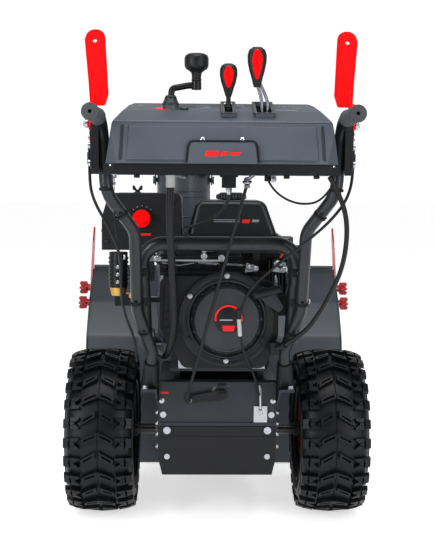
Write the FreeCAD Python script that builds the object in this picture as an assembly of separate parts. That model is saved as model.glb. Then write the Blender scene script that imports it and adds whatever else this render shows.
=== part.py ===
"""Two stage snowblower: wheeled chassis, engine, auger housing, discharge chute and operator console.

Frame: millimetres, +Z up, +Y the driving direction, +X the operator's right hand.
The origin is on the ground, under the middle of the wheel axle.
"""
import FreeCAD, Part
import math
import os

V = FreeCAD.Vector

# ---- driving dimensions -------------------------------------------------------------------------
TYRE_DIAMETER = 406.0
TYRE_WIDTH = 164.0
WHEEL_TRACK = 562.0
RIM_RADIUS = 101.0
AXLE_RADIUS = 12.5
HUB_RADIUS = 19.0
SHEET = 3.0                      # thickness of the steel panels
RUN = 0.05                       # radial clearance of a running shaft
GAP = 0.5                        # space between pieces that move past each other

CASE_HALF_WIDTH = 141.0          # transmission case
CASE_TOP = 349.0
CASE_BOTTOM = 131.0
CASE_REAR = -150.0
CASE_FRONT = 150.0

CRANK_X, CRANK_Z = 18.0, 515.0   # engine crankshaft, parallel to Y
ENGINE_BASE_TOP = 386.0
RECOIL_REAR = -250.0
RECOIL_RADIUS = 107.0

HOUSING_HALF_WIDTH = 376.0       # auger housing
HOUSING_BOTTOM = 8.0
AUGER_Y, AUGER_Z, AUGER_RADIUS = 580.0, 180.0, 163.0
WORM_OFFSET = 35.0               # impeller shaft above the auger shaft
IMPELLER_Z = AUGER_Z + WORM_OFFSET
DRUM_RADIUS, DRUM_REAR = 160.0, 250.0

CHUTE_X, CHUTE_Y, CHUTE_RADIUS = -90.0, 317.0, 71.0
CHUTE_BASE, CHUTE_TOP = 392.0, 850.0
NECK_RADIUS = 64.0
WORM_X, WORM_Z = CHUTE_X - 82.0 - 12.0, CHUTE_BASE - 4.0
SHOE_BOLTS = (510.0, 622.0)

DISC_Z, HEX_Y = 275.0, 25.0      # friction drive inside the transmission case
DISC_REAR, DISC_RADIUS, FRICTION_RADIUS = 66.0, 66.0, 40.0
TRACTION_PULLEY_Y, IMPELLER_PULLEY_Y, PULLEY_WIDTH = 166.0, 200.0, 22.0

GRIP_X, GRIP_Z, GRIP_REAR, GRIP_FRONT = 244.5, 950.0, -640.0, -520.0
HANDLE_TUBE_RADIUS, ROLL_BAR_RADIUS = 13.0, 16.0
LEVER_PIVOT_Y, LEVER_PIVOT_Z = -440.0, 940.0

CONSOLE_HALF_WIDTH = 231.0
CONSOLE_WALL = 3.0
CONSOLE_REAR = -520.0
CRANK_POST = (-104.0, -430.0)    # X and Y of the chute crank
STICK_X, STICK_Y, STICK_PIVOT_Z = 13.0, -430.0, 900.0
SPEED_X, SPEED_PIVOT_Y, SPEED_PIVOT_Z = 87.0, -437.0, 880.0

RECOIL_SEAT = (103.0, -262.0, 574.0)        # rope outlet and the direction of the pull
RECOIL_PULL = (0.150, -0.930, 0.335)
SHIFT_BALL = (55.7, -362.0, 828.0)          # speed lever's ball, bend and lower end of the shift rod
SHIFT_HOOK = (-70.5, -285.0, 343.0)
SHIFT_END = (-70.0, -177.0, 316.0)
PLATE_BOLTS = ((-463.0, 895.0), (-463.0, 860.0))
CABLE_ROUTES = [                            # name, route from the operator's end, radius
    ("left clutch cable", [(-267, -441, 900), (-268, -447, 842), (-262, -452, 790), (-228, -444, 730),
                           (-206, -418, 670), (-210, -380, 610), (-208, -330, 540), (-184, -278, 470),
                           (-184, -252, 420)], 3.0),
    ("right clutch cable", [(267, -441, 900), (268, -447, 842), (256, -452, 790), (220, -452, 744),
                            (176, -438, 704), (114, -380, 646), (62, -322, 590), (42, -312, 530),
                            (48, -296, 470), (66, -262, 420), (88, -222, 372), (96, -190, 330)], 3.0),
    ("deflector cable", [(20, -404, 837.8), (22, -398, 800), (4, -382, 762), (-32, -360, 738), (-62, -320, 728),
                         (-76, -264, 724), (-77, -200, 722), (-76, -120, 722)], 3.0),
    ("wiring harness", [(214, -488, 835.0), (236, -478, 800), (254, -462, 752), (258, -436, 694),
                        (252, -400, 636), (234, -358, 580), (212, -322, 530), (184, -300, 490),
                        (148, -284, 464)], 5.0),
]
SHEATH_ROUTE = [(-104, -430, 812), (-106, -424, 770), (-105, -396, 714), (-103, -360, 650), (-100, -318, 580),
                (-99, -282, 512), (-108, -250, 456), (-121, -206, 424), (-128, -146, 414), (-146, -86, 416),
                (-174, -24, 424), (-192, 42, 424), (WORM_X, 110, 412), (WORM_X, 176, 396), (WORM_X, 246, WORM_Z)]
FUEL_CAP = (33.0, -20.0)
CHOKE = (-180.0, 738.0)
REAR_SCREWS = [(side * x, z, r) for side in (-1, 1) for x, z, r in ((128.0, 276.0, 3.2),)]
PAN_SCREWS = [(side * x, z, r) for side in (-1, 1) for x, z, r in ((119.0, 238.0, 4.2), (119.0, 174.0, 3.2))]

CUTTER_LEAN = math.radians(27.2)
CUTTER_STUDS = ((600.0, 497.0), (577.4, 453.0))


# ---- shape helpers ------------------------------------------------------------------------------
def box(x0, x1, y0, y1, z0, z1):
    return Part.makeBox(x1 - x0, y1 - y0, z1 - z0, V(x0, y0, z0))


def rod(start, end, radius, bore=0.0):
    """A straight bar, or a straight tube when it has a bore."""
    along = V(*end) - V(*start)
    solid = Part.makeCylinder(radius, along.Length, V(*start), along)
    if bore:
        solid = solid.cut(Part.makeCylinder(bore, along.Length, V(*start), along))
    return solid


def cone(start, end, radius_start, radius_end):
    along = V(*end) - V(*start)
    return Part.makeCone(radius_start, radius_end, along.Length, V(*start), along)


def ball(centre, radius):
    return Part.makeSphere(radius, V(*centre))


def fuse(*shapes):
    return shapes[0].fuse(list(shapes[1:])).removeSplitter()


def cut(shape, *tools):
    return shape.cut(list(tools))


def group(*shapes):
    """Separate solids that share one node."""
    return Part.makeCompound(list(shapes))


def mirrored(shape):
    """The same piece on the other side of the machine."""
    return shape.mirror(V(0, 0, 0), V(1, 0, 0))


def both_sides(shape):
    return group(shape, mirrored(shape))


def unit(vector):
    return V(vector).normalize()


def corner_arc(before, corner, after, radius):
    """Entry, middle and exit points of the arc that rounds one corner."""
    back = unit(before - corner)
    ahead = unit(after - corner)
    half = back.getAngle(ahead) / 2
    reach = radius / math.tan(half)
    centre = corner + unit(back + ahead) * (radius / math.sin(half))
    middle = centre + unit(corner - centre) * radius
    return corner + back * reach, middle, corner + ahead * reach


def bent_path(points, radii, closed=False):
    """Straight runs joined by tangent arcs; a radius of 0 leaves a corner sharp."""
    corners = [V(*point) for point in points]
    count = len(corners)
    if not isinstance(radii, (list, tuple)):
        radii = [radii] * count
    stops = []
    for i, corner in enumerate(corners):
        is_end = not closed and i in (0, count - 1)
        if is_end or not radii[i]:
            stops.append((corner, None, corner))
        else:
            stops.append(corner_arc(corners[i - 1], corner, corners[(i + 1) % count], radii[i]))
    edges = []
    for i, (entry, middle, leave) in enumerate(stops):
        if middle is not None:
            edges.append(Part.Arc(entry, middle, leave).toShape())
        if i == count - 1 and not closed:
            break
        following = stops[(i + 1) % count][0]
        if (following - leave).Length > 1e-6:
            edges.append(Part.LineSegment(leave, following).toShape())
    return Part.Wire(edges)


def bent_rod(points, radius, bend, bore=0.0):
    """A round bar or tube along straight runs and tangent arcs."""
    path = bent_path(points, bend)
    start = V(*points[0])
    along = V(*points[1]) - start
    solid = path.makePipeShell([Part.Wire(Part.makeCircle(radius, start, along))], True, False)
    if bore:
        solid = solid.cut(path.makePipeShell([Part.Wire(Part.makeCircle(bore, start, along))], True, False))
    return solid


def prism(outline, axis, start, end, radii=0.0):
    """A closed outline drawn across one axis and extruded along it from start to end."""
    if axis == "x":
        points = [(start, a, b) for a, b in outline]
        along = V(end - start, 0, 0)
    elif axis == "y":
        points = [(a, start, b) for a, b in outline]
        along = V(0, end - start, 0)
    else:
        points = [(a, b, start) for a, b in outline]
        along = V(0, 0, end - start)
    return Part.Face(bent_path(points, radii, closed=True)).extrude(along)


def folded_sheet(line, thickness, bend, axis, start, end):
    """A panel folded along an open line; its thickness lies to the left of the line's travel."""
    corners = [V(a, b, 0) for a, b in line]
    count = len(corners)
    normals = []
    for i in range(count - 1):
        along = unit(corners[i + 1] - corners[i])
        normals.append(V(-along.y, along.x, 0))
    offset = [corners[0] + normals[0] * thickness]
    near = [0.0]
    far = [0.0]
    for i in range(1, count - 1):
        mitre = unit(normals[i - 1] + normals[i])
        offset.append(corners[i] + mitre * (thickness / mitre.dot(normals[i])))
        turn_left = normals[i - 1].cross(normals[i]).z > 0
        near.append(bend + thickness if turn_left else bend)
        far.append(bend if turn_left else bend + thickness)
    offset.append(corners[-1] + normals[-1] * thickness)
    near.append(0.0)
    far.append(0.0)
    outline = [(p.x, p.y) for p in corners] + [(p.x, p.y) for p in reversed(offset)]
    return prism(outline, axis, start, end, near + list(reversed(far)))


def ring_of(shape, count, centre, axis, first=0):
    """Copies of a shape spaced evenly around an axis."""
    copies = []
    for i in range(first, count + first):
        copy = shape.copy()
        copy.rotate(V(*centre), V(*axis), 360.0 * i / count)
        copies.append(copy)
    return copies


def bolt(head, direction, head_radius, head_height, shank_radius, shank_length):
    """A bolt whose head's seat is at the point head; the shank goes along direction."""
    seat = V(*head)
    along = unit(V(*direction))
    cap = Part.makeCylinder(head_radius, head_height, seat - along * head_height, along)
    shank = Part.makeCylinder(shank_radius, shank_length, seat, along)
    return cap.fuse(shank)


# ---- chassis and transmission -------------------------------------------------------------------
def case_outline(inset, bottom):
    side = CASE_HALF_WIDTH - inset
    foot = 131.0 - inset
    return [(-side, CASE_TOP - inset), (side, CASE_TOP - inset), (side, 170.0), (foot, bottom),
            (-foot, bottom), (-side, 170.0)]


def transmission_case():
    """Folded box with open back and bottom, and the two shelves that carry the handle tubes."""
    shell = prism(case_outline(0, CASE_BOTTOM), "y", CASE_REAR, CASE_FRONT)
    inner = prism(case_outline(SHEET, CASE_BOTTOM - 5), "y", CASE_REAR - 1, CASE_FRONT - SHEET)
    bores = [
        rod((-160, 0, TYRE_DIAMETER / 2), (160, 0, TYRE_DIAMETER / 2), 20.0),
        rod((-160, HEX_Y, DISC_Z), (160, HEX_Y, DISC_Z), 16.0),
        rod((0, 140, DISC_Z), (0, 160, DISC_Z), 17.0),
    ]
    shelf = box(-176, -CASE_HALF_WIDTH, -222, -128, 343, 349)
    web = prism([(-222, 343), (-128, 343), (-128, 290)], "x", -144, -CASE_HALF_WIDTH)
    shelf = shelf.fuse(web).cut(rod((-157, -180, 340), (-157, -180, 352), 9.0))
    return fuse(cut(shell, inner, *bores), shelf, mirrored(shelf))


def rear_cover():
    """Upper back panel with a hemmed lower edge and a bush for the speed arm's shaft."""
    line = [(CASE_REAR - 3.5, 249), (CASE_REAR - 3.5, 356), (CASE_REAR + 26, 356)]
    panel = folded_sheet(line, 2.5, 3, "x", -139, 139)
    seal = box(-136, 136, CASE_REAR - 3.5, CASE_REAR - 0.2, 254, 344)
    hem = box(-139, 139, CASE_REAR - 9, CASE_REAR - 6, 249, 257)
    stiffener = cone((11, CASE_REAR - 6, 326), (11, CASE_REAR - 9, 326), 26, 20)
    panel = fuse(panel, seal, hem, stiffener)
    return cut(panel, rod((11, -170, 326), (11, -140, 326), 6.0 + RUN),
               *[rod((x, -165, z), (x, -140, z), r) for x, z, r in REAR_SCREWS])


def belly_cover():
    """Bottom pan that turns up square behind the case as the lower back panel."""
    line = [(CASE_FRONT, 128.3), (-152.5, 128.3), (-152.5, 222), (-156, 224), (-156, 247)]
    pan = folded_sheet(line, -2.5, 3, "x", -139, 139)
    pan = pan.common(prism(case_outline(2, 120), "y", -170, 160))
    return cut(pan, *[rod((x, -165, z), (x, -140, z), r) for x, z, r in PAN_SCREWS])


def engine_base():
    """Engine mounting frame: a bright top plate on two side rails above the case."""
    plate = box(-112, 118, -152, 118, 379, ENGINE_BASE_TOP)
    rails = [box(x, x + 14, -110, 110, CASE_TOP, 379) for x in (-104, 96)]
    return fuse(plate, *rails)


def bearings():
    """Bushes and ball bearings of every shaft as separate rings, and the axle gearbox."""
    wheel_z = TYRE_DIAMETER / 2
    rings = []
    for side in (-1, 1):
        outer = side * (CASE_HALF_WIDTH + 12)
        inner = side * (CASE_HALF_WIDTH - 9)
        rings.append(rod((inner, 0, wheel_z), (outer, 0, wheel_z), 20.0, AXLE_RADIUS + RUN))
        hex_end = side * (CASE_HALF_WIDTH + 4)
        hex_start = side * (CASE_HALF_WIDTH - 12)
        rings.append(rod((hex_start, HEX_Y, DISC_Z), (hex_end, HEX_Y, DISC_Z), 16.0, 8.0 + RUN))
        end = side * (HOUSING_HALF_WIDTH - 26)
        rings.append(rod((end, AUGER_Y, AUGER_Z), (side * (HOUSING_HALF_WIDTH + 3), AUGER_Y, AUGER_Z),
                         19.0, 11.0 + RUN))
    rings.append(rod((0, 138, DISC_Z), (0, 156, DISC_Z), 17.0, 9.0 + RUN))
    rings.append(rod((0, DRUM_REAR - 14, IMPELLER_Z), (0, DRUM_REAR + 8, IMPELLER_Z), 21.0, 10.0 + RUN))
    return group(*rings, axle_gearbox())


def axle_gearbox():
    """Sealed reduction and differential between the two half axles."""
    wheel_z = TYRE_DIAMETER / 2
    body = rod((-46, 0, wheel_z), (46, 0, wheel_z), 28.0)
    flange = rod((-4, 0, wheel_z), (4, 0, wheel_z), 30.5)
    ends = rod((-58, 0, wheel_z), (58, 0, wheel_z), 20.0)
    foot = box(-30, 30, -22, 22, 131, 190)
    body = fuse(body, flange, ends, foot)
    return cut(body, rod((-60, 0, wheel_z), (-8, 0, wheel_z), AXLE_RADIUS + RUN),
               rod((8, 0, wheel_z), (60, 0, wheel_z), AXLE_RADIUS + RUN))


def friction_disc():
    """Steel disc, its shaft and the traction pulley in front of the case."""
    face = rod((0, DISC_REAR, DISC_Z), (0, DISC_REAR + 6, DISC_Z), DISC_RADIUS)
    hub = rod((0, DISC_REAR + 6, DISC_Z), (0, 130, DISC_Z), 16.0)
    shaft = rod((0, 130, DISC_Z), (0, TRACTION_PULLEY_Y + PULLEY_WIDTH, DISC_Z), 9.0)
    return fuse(face, hub, shaft, pulley(0, TRACTION_PULLEY_Y, DISC_Z, 56.0))


def hex_shaft():
    """Hexagonal cross shaft with round journals."""
    corners = [(HEX_Y + 10 * math.cos(math.radians(60 * i)), DISC_Z + 10 * math.sin(math.radians(60 * i)))
               for i in range(6)]
    bar = prism(corners, "x", -126, 126)
    return fuse(bar, rod((-144, HEX_Y, DISC_Z), (144, HEX_Y, DISC_Z), 8.0))


def friction_wheel():
    """Rubber edged wheel on a hub with a hexagonal bore that slides on the cross shaft."""
    corners = [(HEX_Y + 10.1 * math.cos(math.radians(60 * i)), DISC_Z + 10.1 * math.sin(math.radians(60 * i)))
               for i in range(6)]
    wheel = rod((34, HEX_Y, DISC_Z), (46, HEX_Y, DISC_Z), FRICTION_RADIUS)
    hub = rod((24, HEX_Y, DISC_Z), (56, HEX_Y, DISC_Z), 20.0)
    groove = rod((26.5, HEX_Y, DISC_Z), (31, HEX_Y, DISC_Z), 21.0, 16.0)
    return cut(fuse(wheel, hub), prism(corners, "x", 20, 60), groove)


def pulley(x, rear, z, radius):
    """V-groove pulley whose axis runs along Y."""
    half = PULLEY_WIDTH / 2
    profile = [(0, rear), (radius, rear), (radius, rear + 3), (radius - 11, rear + half),
               (radius, rear + PULLEY_WIDTH - 3), (radius, rear + PULLEY_WIDTH), (0, rear + PULLEY_WIDTH)]
    face = Part.Face(Part.makePolygon([V(x + r, y, z) for r, y in profile + [profile[0]]]))
    return face.revolve(V(x, 0, z), V(0, 1, 0), 360)


# ---- engine -------------------------------------------------------------------------------------
def crankshaft():
    """Crankshaft with flywheel, starter cup and the two drive pulleys."""
    shaft = rod((CRANK_X, -222, CRANK_Z), (CRANK_X, IMPELLER_PULLEY_Y + PULLEY_WIDTH, CRANK_Z), 12.5)
    wheel = rod((CRANK_X, -206, CRANK_Z), (CRANK_X, -176, CRANK_Z), 90.0)
    fins = ring_of(box(CRANK_X + 50, CRANK_X + 88, -214, -206, CRANK_Z - 2, CRANK_Z + 2), 16,
                   (CRANK_X, 0, CRANK_Z), (0, 1, 0))
    cup = rod((CRANK_X, -226, CRANK_Z), (CRANK_X, -206, CRANK_Z), 34.0, 28.0)
    pulleys = [pulley(CRANK_X, TRACTION_PULLEY_Y, CRANK_Z, 34.0),
               pulley(CRANK_X, IMPELLER_PULLEY_Y, CRANK_Z, 38.0)]
    return fuse(shaft, wheel, cup, *fins, *pulleys)


def engine_block():
    """Crankcase with the inclined finned cylinder and the valve cover."""
    case = prism([(-92, ENGINE_BASE_TOP), (122, ENGINE_BASE_TOP), (122, 560), (84, 604), (-52, 604), (-92, 560)],
                 "y", -140, 96, 10)
    boss = rod((CRANK_X, 96, CRANK_Z), (CRANK_X, 118, CRANK_Z), 46.0)
    barrel = box(60, 158, -86, 44, 548, 604)
    fins = [box(122 + 8 * i, 125 + 8 * i, -98, 56, 520, 640) for i in range(6)]
    head = box(166, 196, -84, 42, 530, 632)
    body = fuse(case, boss, barrel, *fins, box(120, 168, -70, 30, 545, 610), head)
    body = body.cut(rod((CRANK_X, -141, CRANK_Z), (CRANK_X, 119, CRANK_Z), 12.5 + RUN))
    sump_plug = rod((-60, -140, 393.5), (-60, -148, 393.5), 6.0)
    return body.fuse(sump_plug)


def blower_shroud():
    """Fan housing around the flywheel; its upper lip leads air over the cylinder."""
    def outline(inset):
        r = 118 - inset
        return [(CRANK_X - r - 34, CRANK_Z - 20), (CRANK_X - r + 20, CRANK_Z - r + 4),
                (CRANK_X + r - 30, CRANK_Z - r + 4), (CRANK_X + r, CRANK_Z - 40), (CRANK_X + r, CRANK_Z + 70),
                (CRANK_X + r - 40, CRANK_Z + 96 - inset), (CRANK_X - r - 34, CRANK_Z + 96 - inset)]
    shell = prism(outline(0), "y", -230, -141, 22)
    hollow = prism(outline(3), "y", -227, -140, 20)
    mouth = rod((CRANK_X, -231, CRANK_Z), (CRANK_X, -226, CRANK_Z), 99.0)
    return cut(shell, hollow, mouth)


def recoil_cover():
    """Outer guard ring, dished starter housing with vents in its skirt, and the rope outlet arm."""
    centre = (CRANK_X, RECOIL_REAR, CRANK_Z)
    ring_part = rod((CRANK_X, -246, CRANK_Z), (CRANK_X, -230.2, CRANK_Z), RECOIL_RADIUS, 86.0)
    ring_part = fuse(ring_part, rod((CRANK_X, -233, CRANK_Z), (CRANK_X, -230.2, CRANK_Z), 90.0, 40.0))
    dome = cone((CRANK_X, -233, CRANK_Z), (CRANK_X, -256, CRANK_Z), 84.0, 72.0)
    hollow = cone((CRANK_X, -230, CRANK_Z), (CRANK_X, -253, CRANK_Z), 81.5, 69.0)
    vent = box(CRANK_X + 70, CRANK_X + 90, -249, -239, CRANK_Z - 4, CRANK_Z + 4)
    dome = cut(dome, hollow, *ring_of(vent, 16, centre, (0, 1, 0)))
    arm = prism([(CRANK_X + 64, CRANK_Z + 62), (CRANK_X + 90, CRANK_Z + 36), (CRANK_X + 118, CRANK_Z + 18),
                 (CRANK_X + 127, CRANK_Z + 30), (CRANK_X + 104, CRANK_Z + 70), (CRANK_X + 76, CRANK_Z + 76)],
                "y", RECOIL_SEAT[1], -230.2, [0, 0, 6, 6, 10, 6])
    return fuse(ring_part, dome, arm)


def recoil_handle():
    """Moulded pull grip that sits in the rope outlet."""
    start = V(*RECOIL_SEAT) + V(*RECOIL_PULL) * 6.0
    stem = Part.makeCone(7, 9, 14, start, V(*RECOIL_PULL))
    middle = start + V(*RECOIL_PULL) * 18
    across = unit(V(1, 0, 0.25))
    bar = Part.makeCylinder(9.5, 50, middle - across * 25, across)
    ends = [Part.makeSphere(9.5, middle + across * s) for s in (-25, 25)]
    return fuse(stem, bar, *ends)


def fuel_tank():
    """Hollow moulded tank that narrows upwards, with a seam flange and a filler neck."""
    def body(inset, top):
        outline = [(-74 + inset, 694), (143 - inset, 694), (111 - inset, top), (-52 + inset, top)]
        block = prism(outline, "y", -104 + inset, 62 - inset, [0, 0, 24 - inset, 24 - inset])
        ends = [e for e in block.Edges if abs(e.CenterOfMass.y + 21) > 75 and e.CenterOfMass.z > 695]
        return block.makeFillet(14 - inset, ends)
    flange = box(-84, 152, -116, 74, 690, 697)
    flange = flange.makeFillet(18, [e for e in flange.Edges if abs(e.CenterOfMass.z - 693.5) < 1])
    neck = rod((FUEL_CAP[0], FUEL_CAP[1], 776), (FUEL_CAP[0], FUEL_CAP[1], 789), 24.0)
    bore = rod((FUEL_CAP[0], FUEL_CAP[1], 770), (FUEL_CAP[0], FUEL_CAP[1], 794), 19.0)
    tank = cut(fuse(body(0, 781), flange, neck), body(4, 777), bore)
    legs = [box(x, x + 16, y, y + 16, 640, 690) for x in (-40, 84) for y in (-96, 40)]
    return fuse(tank, *legs)


def fuel_cap():
    """Screw cap with grip ribs around its skirt."""
    x, y = FUEL_CAP
    cap = rod((x, y, 782.5), (x, y, 795), 34.0).cut(rod((x, y, 782), (x, y, 789.5), 24.5))
    ribs = ring_of(box(x + 32, x + 36.5, y - 3, y + 3, 784, 793.5), 18, (x, y, 0), (0, 0, 1))
    dome = cone((x, y, 795), (x, y, 798.5), 32.0, 27.0)
    return fuse(cap, dome, *ribs)


def intake_hood():
    """Hollow heat box over the carburettor, in two halves that meet at a seam."""
    def outline(inset):
        return [(-275 + inset, 663), (-88 - inset, 663), (-88 - inset, 797 - inset), (-258 + inset, 797 - inset),
                (-275 + inset, 740)]
    shell = prism(outline(0), "y", -124, 52, [0, 0, 14, 20, 20])
    hollow = prism([(x, max(z, 660)) for x, z in outline(3)], "y", -121, 49, [0, 0, 11, 17, 17])
    seam = prism([(-275.8, 706), (-87.2, 706), (-87.2, 712), (-275.8, 712)], "y", -125, 53)
    seam = seam.cut(prism(outline(1), "y", -123, 51, [0, 0, 13, 19, 19]))
    boss = rod((CHOKE[0], -132, CHOKE[1]), (CHOKE[0], -121.5, CHOKE[1]), 15.0)
    shaft_hole = rod((CHOKE[0], -133, CHOKE[1]), (CHOKE[0], -118, CHOKE[1]), 4.0 + RUN)
    floor = box(-271, -92, -121, 49, 663, 666)
    shell = fuse(cut(shell, hollow), seam, floor, boss)
    throat = rod((-120, -20, 660), (-120, -20, 668), 24.0)
    return cut(shell, shaft_hole, throat)


def carburettor():
    """Carburettor body under the hood with its flange, bowl and inlet horn."""
    horn = rod((-120, -20, 632), (-120, -20, 676), 22.0, 15.0)
    body = box(-142, -96, -50, 12, 600, 632)
    bowl = rod((-119, -20, 568), (-119, -20, 600), 21.0)
    flange = box(-96, -88, -44, 6, 596, 640)
    throttle_arm = box(-150, -142, -34, -28, 606, 650)
    return fuse(horn, body, bowl, flange, throttle_arm)


def choke_knob():
    """Round turning knob with a raised bar and a shaft into the hood."""
    x, z = CHOKE
    disc = rod((x, -152, z), (x, -133, z), 20.5)
    bar = box(x - 19, x + 19, -162, -151, z - 5, z + 5).fuse(rod((x, -162, z), (x, -150, z), 9.0))
    shaft = rod((x, -134, z), (x, -112, z), 4.0)
    return fuse(disc, bar, shaft)


def muffler():
    """Box silencer in a louvred guard, beside the cylinder head."""
    shell = box(96, 196, 62, 150, 608, 684)
    shell = shell.makeFillet(12, [e for e in shell.Edges if abs(e.CenterOfMass.z - 646) < 1])
    louvres = [box(104, 188, 148, 152, 620 + 14 * i, 625 + 14 * i) for i in range(4)]
    pipe = rod((181, 42, 620), (181, 64, 620), 12.0)
    outlet = rod((196, 100, 650), (214, 100, 650), 13.0, 10.0)
    return fuse(shell, outlet, pipe, *louvres)


def starter_motor():
    """Upright ribbed motor can on a brass coloured drive end."""
    can = rod((-238, -96, 572), (-238, -96, 656), 22.0)
    ribs = [rod((-238, -96, 580 + 10 * i), (-238, -96, 584 + 10 * i), 24.0) for i in range(7)]
    nose = cone((-238, -96, 572), (-238, -96, 552), 20.0, 16.0)
    drive = box(-246, -170, -108, -72, 528, 556)
    mount = box(-170, -92.2, -100, -80, 536, 548)
    return fuse(can, nose, drive, mount, *ribs)


def belt_cover():
    """Moulded cover over the belts, in front of the engine."""
    def outline(inset):
        return [(-96 + inset, 372), (132 - inset, 372), (132 - inset, 540), (104 - inset / 2, 596 - inset),
                (-68 + inset / 2, 596 - inset), (-96 + inset, 540)]
    shell = prism(outline(0), "y", 152, 231, 18)
    hollow = prism([(x, z if z > 400 else z - 10) for x, z in outline(3)], "y", 149, 228, 15)
    return cut(shell, hollow)


def drive_belts():
    """Traction belt and auger belt, each a closed loop resting in its two pulleys."""
    belts = []
    for rear, low_z, low_radius, top_radius in (
            (TRACTION_PULLEY_Y, DISC_Z, 56.0, 34.0), (IMPELLER_PULLEY_Y, IMPELLER_Z, 92.0, 38.0)):
        start = rear + PULLEY_WIDTH / 2 - 4
        outer = belt_loop(low_z, low_radius + 6, top_radius + 6, start, start + 8)
        belts.append(outer.cut(belt_loop(low_z, low_radius + 0.6, top_radius + 0.6, start - 1, start + 9)))
    return group(*belts)


def belt_loop(low_z, low_radius, top_radius, start, end):
    """Solid hull of two discs joined by their outer tangents."""
    low = V(0, 0, low_z)
    top = V(CRANK_X, 0, CRANK_Z)
    line = top - low
    lean = math.asin((low_radius - top_radius) / line.Length)
    heading = math.atan2(line.z, line.x)
    ends = []
    for side in (1, -1):
        angle = heading + side * (math.pi / 2 - lean)
        away = V(math.cos(angle), 0, math.sin(angle))
        ends.append((low + away * low_radius, top + away * top_radius))
    (low_a, top_a), (low_b, top_b) = ends
    beyond = unit(line)
    edges = [Part.LineSegment(low_a, top_a).toShape(),
             Part.Arc(top_a, top + beyond * top_radius, top_b).toShape(),
             Part.LineSegment(top_b, low_b).toShape(),
             Part.Arc(low_b, low - beyond * low_radius, low_a).toShape()]
    face = Part.Face(Part.Wire(edges))
    face.translate(V(0, start, 0))
    return face.extrude(V(0, end - start, 0))


# ---- wheels -------------------------------------------------------------------------------------
def revolved(profile, radii=0.0):
    """Turn a closed outline of (x, radius) points about the wheel axle's line."""
    wheel_z = TYRE_DIAMETER / 2
    face = Part.Face(bent_path([(x, 0, wheel_z + r) for x, r in profile], radii, closed=True))
    return face.revolve(V(0, 0, wheel_z), V(1, 0, 0), 360)


def right_tyre():
    """Hollow pneumatic carcass with a rounded shoulder, seated on the rim."""
    middle = WHEEL_TRACK / 2
    half = TYRE_WIDTH / 2
    crown = TYRE_DIAMETER / 2
    bead = RIM_RADIUS + 0.2
    outer = [(-56, bead), (-60, bead + 16), (-half, 148), (-half + 6, 190), (-58, crown - 2), (0, crown),
             (58, crown - 2), (half - 6, 190), (half, 148), (60, bead + 16), (56, bead)]
    inner = [(46, bead), (48, bead + 18), (half - 10, 150), (half - 16, 182), (52, crown - 13),
             (-52, crown - 13), (-half + 16, 182), (-half + 10, 150), (-48, bead + 18), (-46, bead)]
    radii = [0, 10, 30, 12, 14, 0, 14, 12, 30, 10, 0, 0, 8, 20, 10, 10, 10, 10, 20, 8, 0]
    return revolved([(middle + x, r) for x, r in outer + inner], radii)


def right_rim():
    """Two-flanged steel rim with a dished disc, seated on its half axle."""
    middle = WHEEL_TRACK / 2
    barrel = [(-62, 112), (-59, 112), (-59, RIM_RADIUS), (59, RIM_RADIUS), (59, 112), (62, 112),
              (62, RIM_RADIUS - 3), (-62, RIM_RADIUS - 3)]
    disc = [(14, RIM_RADIUS - 2.5), (18, RIM_RADIUS - 2.5), (4, 60), (4, HUB_RADIUS), (0, HUB_RADIUS), (0, 62)]
    wheel = fuse(*[revolved([(middle + x, r) for x, r in outline]) for outline in (barrel, disc)])
    wheel_z = TYRE_DIAMETER / 2
    holes = ring_of(rod((middle - 10, 0, wheel_z + 42), (middle + 30, 0, wheel_z + 42), 8.0), 5,
                    (0, 0, wheel_z), (1, 0, 0))
    return group(cut(wheel, *holes), right_axle())


def right_axle():
    """Half axle with the hub tube that carries the rim."""
    middle = WHEEL_TRACK / 2
    wheel_z = TYRE_DIAMETER / 2
    axle = rod((9, 0, wheel_z), (middle + 36, 0, wheel_z), AXLE_RADIUS)
    hub = rod((middle - 84, 0, wheel_z), (middle + 22, 0, wheel_z), HUB_RADIUS)
    pin = rod((middle + 28, -AXLE_RADIUS - 4, wheel_z), (middle + 28, AXLE_RADIUS + 4, wheel_z), 2.5)
    return fuse(axle, hub, pin)


# ---- auger housing and impeller -----------------------------------------------------------------
HOUSING_LINE = [(390.0, HOUSING_BOTTOM), (386.0, 220.0), (428.0, 370.0), (505.0, 465.0), (625.0, 549.0)]
SIDE_OUTLINE = [(387.0, HOUSING_BOTTOM), (735.0, HOUSING_BOTTOM), (765.0, 45.0), (760.0, 150.0), (690.0, 440.0),
                (640.0, 556.0), (612.0, 546.0), (498.0, 468.0), (421.0, 372.0), (381.0, 222.0)]


def auger_housing():
    """Curved back panel with a front lip, open round the impeller."""
    inside = HOUSING_HALF_WIDTH - SHEET
    back = folded_sheet(HOUSING_LINE, SHEET, 50, "x", -inside, inside)
    lip = box(-inside, inside, 622, 625, 551, 566)
    seams = [box(x - 1.5, x + 1.5, 379.5, 383.2, 20, 210) for x in (-276, 276)]
    mouth = rod((0, 360, IMPELLER_Z), (0, 470, IMPELLER_Z), DRUM_RADIUS - SHEET)
    return cut(fuse(back, lip, *seams), mouth)


def housing_sides():
    """The two side plates of the auger housing."""
    inside = HOUSING_HALF_WIDTH - SHEET
    side = prism(SIDE_OUTLINE, "x", inside, HOUSING_HALF_WIDTH, [0, 24, 20, 40, 40, 12, 0, 30, 50, 50])
    side = cut(side, rod((300, AUGER_Y, AUGER_Z), (400, AUGER_Y, AUGER_Z), 19.0),
               *[rod((300, y, z), (400, y, z), 4.0) for y, z in CUTTER_STUDS],
               *[rod((300, y, 52), (400, y, 52), 4.0) for y in SHOE_BOLTS])
    return both_sides(side)


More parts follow.
